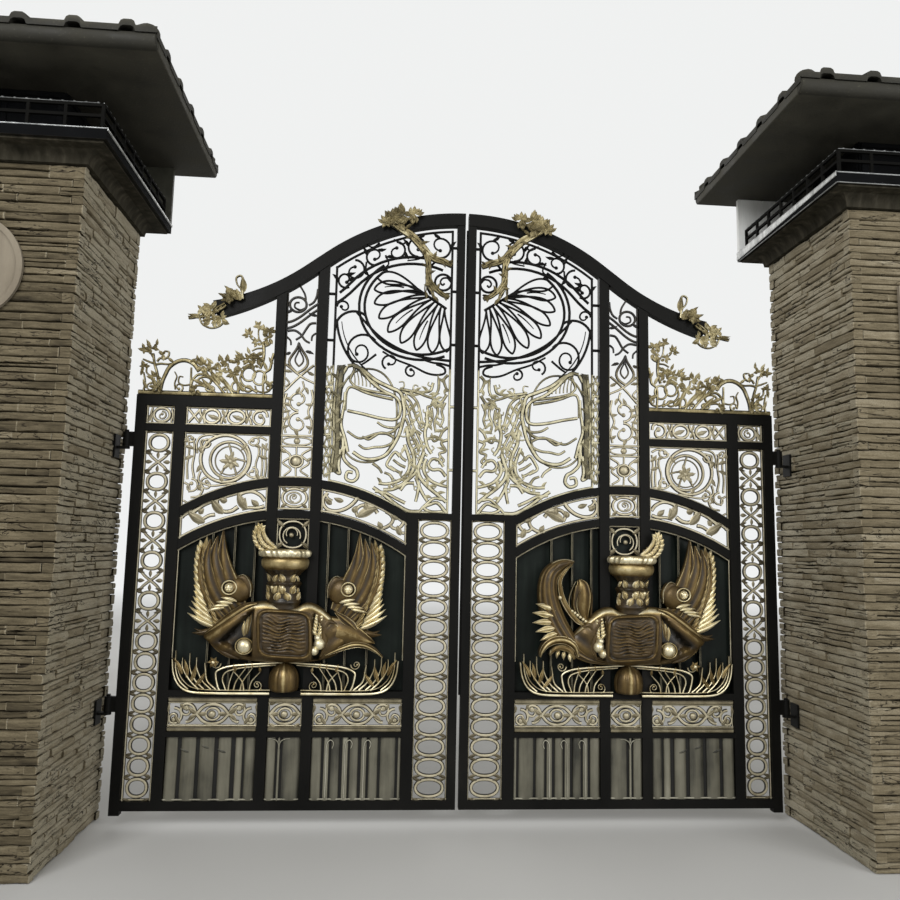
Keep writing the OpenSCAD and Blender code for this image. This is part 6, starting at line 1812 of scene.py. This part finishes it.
def stonework(side, seed):
    """A pillar in courses of thin stones with flat, broken faces. In every second course the front and
    back stones run to the corners, in the others those of the two sides do. A stone is a flat section
    with chipped edges, carried along its length in seven rings, whose points are moved by a few
    millimetres; the two sides are rougher than front and back. Each face has a tone of its own with
    painted light in it: the sides are painted lighter, and the left pillar's front darker, for the light
    each face gets; the end of a stone has the painted tone of the face that it is seen in. Each stone is
    painted lighter at its top and darker at its foot, painted light from above, and its back and the core
    behind it are painted nearly black, painted shade in the joints."""
    shape = Shape()
    rng = np.random.default_rng(seed)
    low, high = node_box("pillar_" + side)
    # A core in the darkest tone behind the stones: painted shade seen through the joints.
    shape.blocks(low + (24, 24, 0), high - (24, 24, 2), 0.0)
    heights = rng.uniform(34, 60, 120)
    tops = np.cumsum(heights)
    tops = tops[tops < high[2] - 26]
    tops = np.append(tops, high[2])
    bottoms = np.concatenate([[0.0], tops[:-1]])
    deep = 62.0
    # Mean tone of front and back, and of the sides: the stone's own tone with painted light, lighter sides
    # and a darker left front.
    face_tone_and_painted_light = (0.42, 0.97) if side == "left" else (0.58, 0.88)
    rows = []
    for course, (z0, z1) in enumerate(zip(bottoms, tops)):
        for face in range(4):
            length = high[0] - low[0] if face % 2 == 0 else high[1] - low[1]
            inset = 0.0 if (course + face) % 2 == 0 else deep
            shortest, longest = (90, 380) if face % 2 else (170, 700)
            ends = [inset]
            while ends[-1] < length - inset:
                ends.append(ends[-1] + rng.uniform(shortest, longest))
            ends[-1] = length - inset
            if len(ends) > 2 and ends[-1] - ends[-2] < 80:
                ends.pop(-2)
            for s0, s1 in zip(ends[:-1], ends[1:]):
                split = z1 - z0 > 46 and rng.random() < 0.35
                middle = z0 + (z1 - z0) * rng.uniform(0.36, 0.64)
                for a, b in ((z0, middle), (middle, z1)) if split else ((z0, z1),):
                    stand = rng.uniform(-9 if face % 2 else -5, 2.5)
                    rows.append((face, s0, s1, a, b, stand, rng.normal(face_tone_and_painted_light[face % 2], 0.09)))
    rows = np.array(rows)
    face, s0, s1, z0, z1, stand, tone = rows.T
    along = np.array([0, 0.015, 0.25, 0.5, 0.75, 0.985, 1.0])
    section = np.array([
        [-58, 0], [-7, 0.006], [-0.8, 0.08], [0, 0.5], [-0.8, 0.92], [-9, 0.994], [-58, 1.0]
    ])
    taper = np.array([1, 0, 0, 0, 0, 0, 1.0])
    gap = rng.uniform(0.2, 1.4, len(rows))
    n, j, k = len(rows), len(along), len(section)
    s = s0[:, None] + gap[:, None] + (s1 - s0 - 2 * gap)[:, None] * along
    rough = np.where(face % 2 == 0, 1.0, 2.2)[:, None, None]
    front = section[:, 0] > -20
    out = stand[:, None, None] + section[None, None, :, 0] - 2 * taper[None, :, None] * front
    out = out + rough * rng.uniform(-2.6, 0.6, (n, j, k)) * front
    from_above = -6.5 * rng.random((n, j, 1)) ** 2.4
    from_below = 5.0 * rng.random((n, j, 1)) ** 2.4
    chip = np.where(section[:, 1] > 0.5, from_above, from_below) * np.where(front, 1.0, 0.4)
    z = z0[:, None, None] + 0.5 + (z1 - z0 - 1.0)[:, None, None] * section[:, 1] + chip
    s = np.broadcast_to(s[:, :, None], (n, j, k))
    sides = [face == 0, face == 1, face == 2]
    x = np.select(sides, [low[0] + s.T, high[0] + out.T, high[0] - s.T], low[0] - out.T).T
    y = np.select(sides, [low[1] - out.T, low[1] + s.T, high[1] + out.T], high[1] - s.T).T
    # Lighter at the top of each stone and darker at its foot: painted light from above, with a little random
    # tone.
    tones = tone[:, None, None] + 0.14 * (section[:, 1] - 0.5) + rng.uniform(-0.05, 0.05, (n, j, 1))
    # The back of each stone nearly black: painted shade in the joints. The ends take the painted tone of the
    # other face.
    tones = np.clip(tones, 0, 1) * np.where(front, 1.0, 0.08)
    tones[:, [0, -1]] = np.where(face % 2, *face_tone_and_painted_light)[:, None, None]
    shape.batch(np.stack([x, y, z], -1), tones)
    make("stonework_" + side, shape, STONE, "root", ["pillar_" + side])


def roof(side):
    """Hipped roof: a smooth board under the eaves, rounded along its front and back edges, four slopes
    of flat tiles with narrow rolls between them, stepped at every course, and barrel tiles lapped along
    the hips and the ridge. A slope's height is its plane + 30 * (1 - (u / 42)^6) on the rolls, u mm from
    their middle, + 16 mm * the part of the course that lies above."""
    shape = Shape()
    low, high = node_box("roof_" + side)
    w, d = high[0] - low[0], high[1] - low[1]
    mid = (low + high) / 2
    lip, run = 46.0, d / 2
    plane0 = low[2] + 58
    rise = high[2] - plane0 - 50
    shape.blocks((low[0] + 6, low[1] + lip, low[2] + 1), (high[0] - 6, high[1] - lip, plane0 + 2), 0.66, 4)
    t = np.linspace(0, TAU, 16, endpoint=False)
    for y in (low[1] + lip + 1, high[1] - lip - 1):
        x = np.array([low[0] + 8, low[0] + 14, high[0] - 14, high[0] - 8])
        r = np.array([lip - 8, lip, lip, lip - 8])
        z = low[2] + lip + 1 + r[:, None] * np.sin(t)
        shape.tube(
            np.stack([np.broadcast_to(x[:, None], z.shape), y + r[:, None] * np.cos(t), z], -1), 0.32
        )
    pitch, course = 268.0, 300.0
    slope_length = math.hypot(run, rise)
    bumps = np.array([-134, -60, -43, -41, -34, -20, 0, 20, 34, 41, 43, 60])
    for face in range(4):
        span = w if face % 2 == 0 else d
        count = int(span / pitch) + 2
        u = (np.arange(-count // 2, count // 2 + 1)[:, None] * pitch + bumps[None, :]).ravel()
        rows = int(slope_length / course) + 1
        v = np.concatenate([[k * course, (k + 1) * course - 3] for k in range(rows)])
        v = np.minimum(v, slope_length - 6)
        uu, vv = np.meshgrid(u, v)
        part = vv / slope_length
        reach = span / 2 - 4 - run * part
        inside = np.clip(uu, -reach, reach)
        local = np.mod(inside + pitch / 2, pitch) - pitch / 2
        roll = 30 * np.clip(1 - (local / 42) ** 6, 0, 1)
        lap = 16 * (1 - np.mod(np.minimum(vv, slope_length - 7), course) / course)
        tile = (
            np.floor((inside + pitch / 2) / pitch) * 7 + np.floor(vv / course) * 13 + face * 5
        ).astype(int)
        tone = np.clip(0.5 + 0.24 * np.sin(tile * 2.4) + 0.12 * (roll > 1), 0, 1)
        edge = (36.0 if face % 2 == 0 else 8.0) * np.clip(1 - vv / 240, 0, 1)
        height = plane0 + rise * part + roll + lap - 22 * part + edge
        slide = (run - 2) * part
        outward = run - 2 - slide
        place = (
            (mid[0] + inside, mid[1] - outward),
            (mid[0] + w / 2 - 2 - slide, mid[1] + inside),
            (mid[0] - inside, mid[1] + outward),
            (mid[0] - w / 2 + 2 + slide, mid[1] - inside),
        )[face]
        under = np.maximum(height - 34, low[2] + 6)
        shape.shell(np.stack([*place, height], -1), np.stack([*place, under], -1), tone, 0.1)
    top = plane0 + rise - 4
    ridge = w / 2 - run
    lines = [((mid[0] - ridge - 20, mid[1], top), (mid[0] + ridge + 20, mid[1], top), 250.0)]
    for sx in (-1, 1):
        for sy in (-1, 1):
            eaves = (mid[0] + sx * (w / 2 - 46), mid[1] + sy * (run - 46), plane0 + 40)
            lines.append((eaves, (mid[0] + sx * ridge, mid[1], top), 270.0))
    for start, stop, size in lines:
        start, stop = np.array(start), np.array(stop)
        length = np.linalg.norm(stop - start)
        count = max(2, int(length / size))
        s = [(k + part) / count for k in range(count) for part in (0, 0.08, 0.93)]
        s = np.array(s + [1.0])[:, None, None]
        r = np.array([50, 56, 46] * count + [46])[:, None, None]
        d3 = (stop - start) / length
        flat = np.cross(d3, [0, 0, 1.0])
        flat /= np.linalg.norm(flat)
        up = np.cross(flat, d3)
        up *= np.sign(up[2])
        a = np.radians(np.linspace(-40, 220, 13))
        barrel = np.cos(a)[:, None] * flat + np.sin(a)[:, None] * up * 0.86
        rings = start + s * (stop - start) + r * barrel
        rings[..., 2] = np.clip(rings[..., 2], low[2] + 8, high[2] - 1)
        tone = 0.55 + 0.2 * np.sin(np.arange(len(s)) // 3 * 2.1)[:, None]
        tip = start - d3 * (26 if size > 260 else 8) - (0, 0, 4)
        shape.tube(rings, tone, tip)
    make("tiled_roof_" + side, shape, TILE, "root", ["roof_" + side], smooth=35)


def ledge_trim(side):
    """Folded metal strip along the top edge of the ledge; towards the gateway, at the left pillar a thin
    line and at the right one a bright sloping sill that grows wider to the rear, with a line under it."""
    shape = Shape()
    low, high = node_box("cap_" + side)
    x0, y0, x1, y1, top = low[0], low[1], high[0], high[1], high[2]
    right = side == "right"
    for z, out, h in ((top - 5, 3, 7), (top - 62, 1.5, 4)) if right else ((top - 5, 3, 7),):
        lows = [(x0 - out, y0 - out), (x0 - out, y1 - 6), (x0 - out, y0 + 6), (x1 - 6, y0 + 6)]
        highs = [(x1 + out, y0 + 6), (x1 + out, y1 + out), (x0 + 6, y1 - 6), (x1 + out, y1 - 6)]
        shape.blocks([(*p, z) for p in lows], [(*p, z + h) for p in highs], 0.6, 2)
    make("ledge_trim_" + side, shape, TRIM, "root")
    sill = Shape()
    s, edge = (-1, x0) if right else (1, x1)
    y = np.array([y0 + 2, y0 + 30, y1 - 30, y1 - 2])
    profile = np.array([[-2, -20], [5, -20], [7, -17], [7, 2], [3, 8], [-2, 10]], float)
    tall = np.array([1.0, 1.0, 2.4, 2.4] if right else [0.4, 0.4, 0.6, 0.6])
    z = top - 4 + np.minimum(profile[:, 1], 2) * tall[:, None] + np.maximum(profile[:, 1] - 2, 0)
    x, y = np.broadcast_to(edge + s * profile[:, 0], z.shape), np.broadcast_to(y[:, None], z.shape)
    sill.tube(np.stack([x, y, z], -1), 0.7)
    make("ledge_sill_" + side, sill, SILL, "root")


def pier_panels(side):
    """Raised frames on the four faces of the pier under the roof."""
    shape = Shape()
    low, high = node_box("lantern_piers")
    ledge = node_box("cap_" + side)
    mid = (ledge[0] + ledge[1]) / 2
    half = np.array([mid[0] - ledge[0][0] - 370, mid[1] - ledge[0][1] - 370])
    z0, z1 = low[2] + 4, high[2] - 4
    lows, highs = [], []
    for s in (-1, 1):
        for axis in (0, 1):
            face = half[axis]
            other = half[1 - axis]
            edge = other - 10
            bars = (
                (-edge, edge, z0, z0 + 30), (-edge, edge, z1 - 30, z1),
                (-edge, 44 - other, z0 + 30, z1 - 30), (other - 44, edge, z0 + 30, z1 - 30),
                (-15, 15, z0 + 30, z1 - 30),
            )
            for a, b, c, e in bars:
                lo, hi = np.zeros(3), np.zeros(3)
                lo[axis], hi[axis] = (face - 2, face + 10) if s > 0 else (-face - 10, -face + 2)
                lo[1 - axis], hi[1 - axis] = a, b
                lo[2], hi[2] = c, e
                lows.append(lo + (mid[0], mid[1], 0))
                highs.append(hi + (mid[0], mid[1], 0))
    shape.blocks(lows, highs, 0.4, 3)
    make("pier_frames_" + side, shape, CAP, "root")


def railing_wire(side):
    """Thin bright strand along the top of the low railing, with a bead every 60 mm."""
    shape = Shape()
    low, high = node_box("cap_railings")
    ledge = node_box("cap_" + side)
    x0, x1 = ledge[0][0] + 38, ledge[1][0] - 38
    y0, y1 = low[1] + 8, high[1] - 8
    z = high[2] + 5
    corners = [np.array(p) for p in ((x0, y1, z), (x0, y0, z), (x1, y0, z), (x1, y1, z))]
    a = np.linspace(0, TAU, 6, endpoint=False)
    for p, q in zip(corners[:-1], corners[1:]):
        length = np.linalg.norm(q - p)
        count = int(length / 60)
        s = (np.arange(count)[:, None] + np.array([0.0, 0.38, 0.44, 0.56, 0.62])).ravel() / count
        r = np.tile([2.5, 2.5, 6, 6, 2.5], count)
        d = (q - p) / length
        side_way = np.array([d[1], -d[0], 0])
        circle = np.cos(a)[:, None] * side_way + np.sin(a)[:, None] * np.array([0, 0, 1.0])
        shape.tube(p + s[:, None, None] * (q - p) + r[:, None, None] * circle, 0.7)
    make("railing_strand_" + side, shape, TRIM, "root")


ring_strips()
band()
boards()
arch_band()
fan_grille()
vine_panel()
side_strip()
shoulder()
cresting()
sprays()
mantle()
wings()
feet()
for number, side in enumerate(("left", "right")):
    stonework(side, 20 + number)
    roof(side)
    ledge_trim(side)
    pier_panels(side)
    railing_wire(side)

# The exact model's own nodes that stay, and their finishes.
BARE_IRON = ("stiles", "lower_rails", "arch_rails", "shoulder_rails", "camelback_rail")
HINGE_IRON = ("hinge_eyes", "hinge_brackets", "meeting_bead")
KEPT = dict.fromkeys(BARE_IRON + HINGE_IRON, IRON) | {
    "cap_railings": RAILING,
    "backing_sheet": SHEET,
    "front_plaques": RENDER,
    "lantern_piers": CAP,
    "rear_screens": BOARDS,
    "cap": CAP,
}
for name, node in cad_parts.items():
    finish = KEPT.get(name) or KEPT.get(name.rsplit("_", 1)[0])
    if finish:
        for slot in node.material_slots:
            slot.material = finish


# Floor, light and camera


def studio_floor():
    """Pale flat floor that runs out to the pale world behind it. Close to the gate it keeps the shadow;
    the further away, the more of the world's own paleness it sends to the camera."""
    x, y = np.meshgrid(np.linspace(-60, 60, 7), np.linspace(-30, 90, 7), indexing="ij")
    points = np.stack([x, y, np.full_like(x, -0.001)], -1).reshape(-1, 3)
    ids = np.arange(49).reshape(7, 7)
    faces = np.stack([ids[:-1, :-1], ids[1:, :-1], ids[1:, 1:], ids[:-1, 1:]], -1).reshape(-1, 4)
    mesh = bpy.data.meshes.new("studio_floor")
    mesh.from_pydata(points.tolist(), [], faces.tolist())
    floor = bpy.data.objects.new("studio_floor", mesh)
    bpy.context.scene.collection.objects.link(floor)
    f = Finish("pale_floor", (0.5, 0.5, 0.49), 0.0, 0.9, Specular_IOR_Level=0.1)
    away = f.value("VectorMath", {0: f.place}, 1, operation="LENGTH")
    surface = f.done(f.ramp(f.noise(2.0, detail=2), (0.3, 0.48, 0.48, 0.47), (0.7, 0.53, 0.53, 0.52)))
    path = f.tree.nodes.new("ShaderNodeLightPath")
    blend = f.maths("MULTIPLY", f.span(away, 7.0, 26.0), path.outputs["Is Camera Ray"])
    glow = f.tree.nodes.new("ShaderNodeEmission")
    glow.inputs[0].default_value = PALE
    both = f.tree.nodes.new("ShaderNodeMixShader")
    output = next(node for node in f.tree.nodes if node.type == "OUTPUT_MATERIAL")
    f.tree.links.new(blend, both.inputs[0])
    f.tree.links.new(f.shader.outputs[0], both.inputs[1])
    f.tree.links.new(glow.outputs[0], both.inputs[2])
    f.tree.links.new(both.outputs[0], output.inputs[0])
    mesh.materials.append(surface)


def looking(right, up, forward, place):
    """The matrix that puts a lamp or camera at a place and lets it look along forward."""
    return Matrix([[right[i], up[i], -forward[i], place[i]] for i in range(3)] + [[0, 0, 0, 1]])


def lamp(name, place, aim, size, power):
    """A square soft lamp at a place that looks at the point aim; the light it sends is power watts."""
    light = bpy.data.lights.new(name, "AREA")
    light.shape = "SQUARE"
    light.size = size
    light.energy = power
    lamp_object = bpy.data.objects.new(name, light)
    forward = np.array(aim, float) - np.array(place, float)
    forward /= np.linalg.norm(forward)
    right = np.cross(forward, (0, 0, 1))
    right /= np.linalg.norm(right)
    lamp_object.matrix_world = looking(right, np.cross(right, forward), forward, place)
    bpy.context.scene.collection.objects.link(lamp_object)


def pale_world():
    """Even pale light, and a paler colour where the camera looks straight at it or through glass."""
    world = bpy.data.worlds.new("pale_world")
    bpy.context.scene.world = world
    world.use_nodes = True
    tree = world.node_tree
    tree.nodes.clear()
    path = tree.nodes.new("ShaderNodeLightPath")
    seen = tree.nodes.new("ShaderNodeMath")
    seen.operation = "MAXIMUM"
    tree.links.new(path.outputs["Is Camera Ray"], seen.inputs[0])
    tree.links.new(path.outputs["Is Transmission Ray"], seen.inputs[1])
    even, sky, mix = (
        tree.nodes.new("ShaderNode" + kind) for kind in ("Background", "Background", "MixShader")
    )
    even.inputs[0].default_value = (1.0, 0.985, 0.94, 1)
    even.inputs[1].default_value = 0.52
    sky.inputs[0].default_value = PALE
    sky.inputs[1].default_value = 1.0
    tree.links.new(seen.outputs[0], mix.inputs[0])
    tree.links.new(even.outputs[0], mix.inputs[1])
    tree.links.new(sky.outputs[0], mix.inputs[2])
    out = tree.nodes.new("ShaderNodeOutputWorld")
    tree.links.new(mix.outputs[0], out.inputs[0])


def photo_camera():
    """Camera of the photograph: its place, its turn to the right, its tilt up and its roll."""
    yaw, pitch, roll = 0.0778118, 0.1225195, 0.0205330
    forward = np.array([math.sin(yaw) * math.cos(pitch), math.cos(yaw) * math.cos(pitch), math.sin(pitch)])
    right = np.array([math.cos(yaw), -math.sin(yaw), 0])
    up = np.cross(right, forward)
    r = math.cos(roll) * right + math.sin(roll) * up
    u = -math.sin(roll) * right + math.cos(roll) * up
    camera = bpy.data.cameras.new("photo_camera")
    camera.sensor_width = 36.0
    camera.lens = 32.0
    camera.clip_start = 0.05
    camera.clip_end = 200
    holder = bpy.data.objects.new("photo_camera", camera)
    holder.matrix_world = looking(r, u, forward, (-0.467, -4.653, 1.625))
    bpy.context.scene.collection.objects.link(holder)
    bpy.context.scene.camera = holder


studio_floor()
pale_world()
lamp("key_light", (-4.5, -9.0, 7.5), (0, 0, 1.8), 5.0, 780)
lamp("fill_light", (6.5, -7.0, 4.0), (0, 0, 1.5), 5.0, 350)
lamp("back_light", (-2.5, 9.5, 6.5), (0, 0, 1.8), 6.0, 240)
photo_camera()
bpy.context.scene.view_settings.view_transform = "Standard"
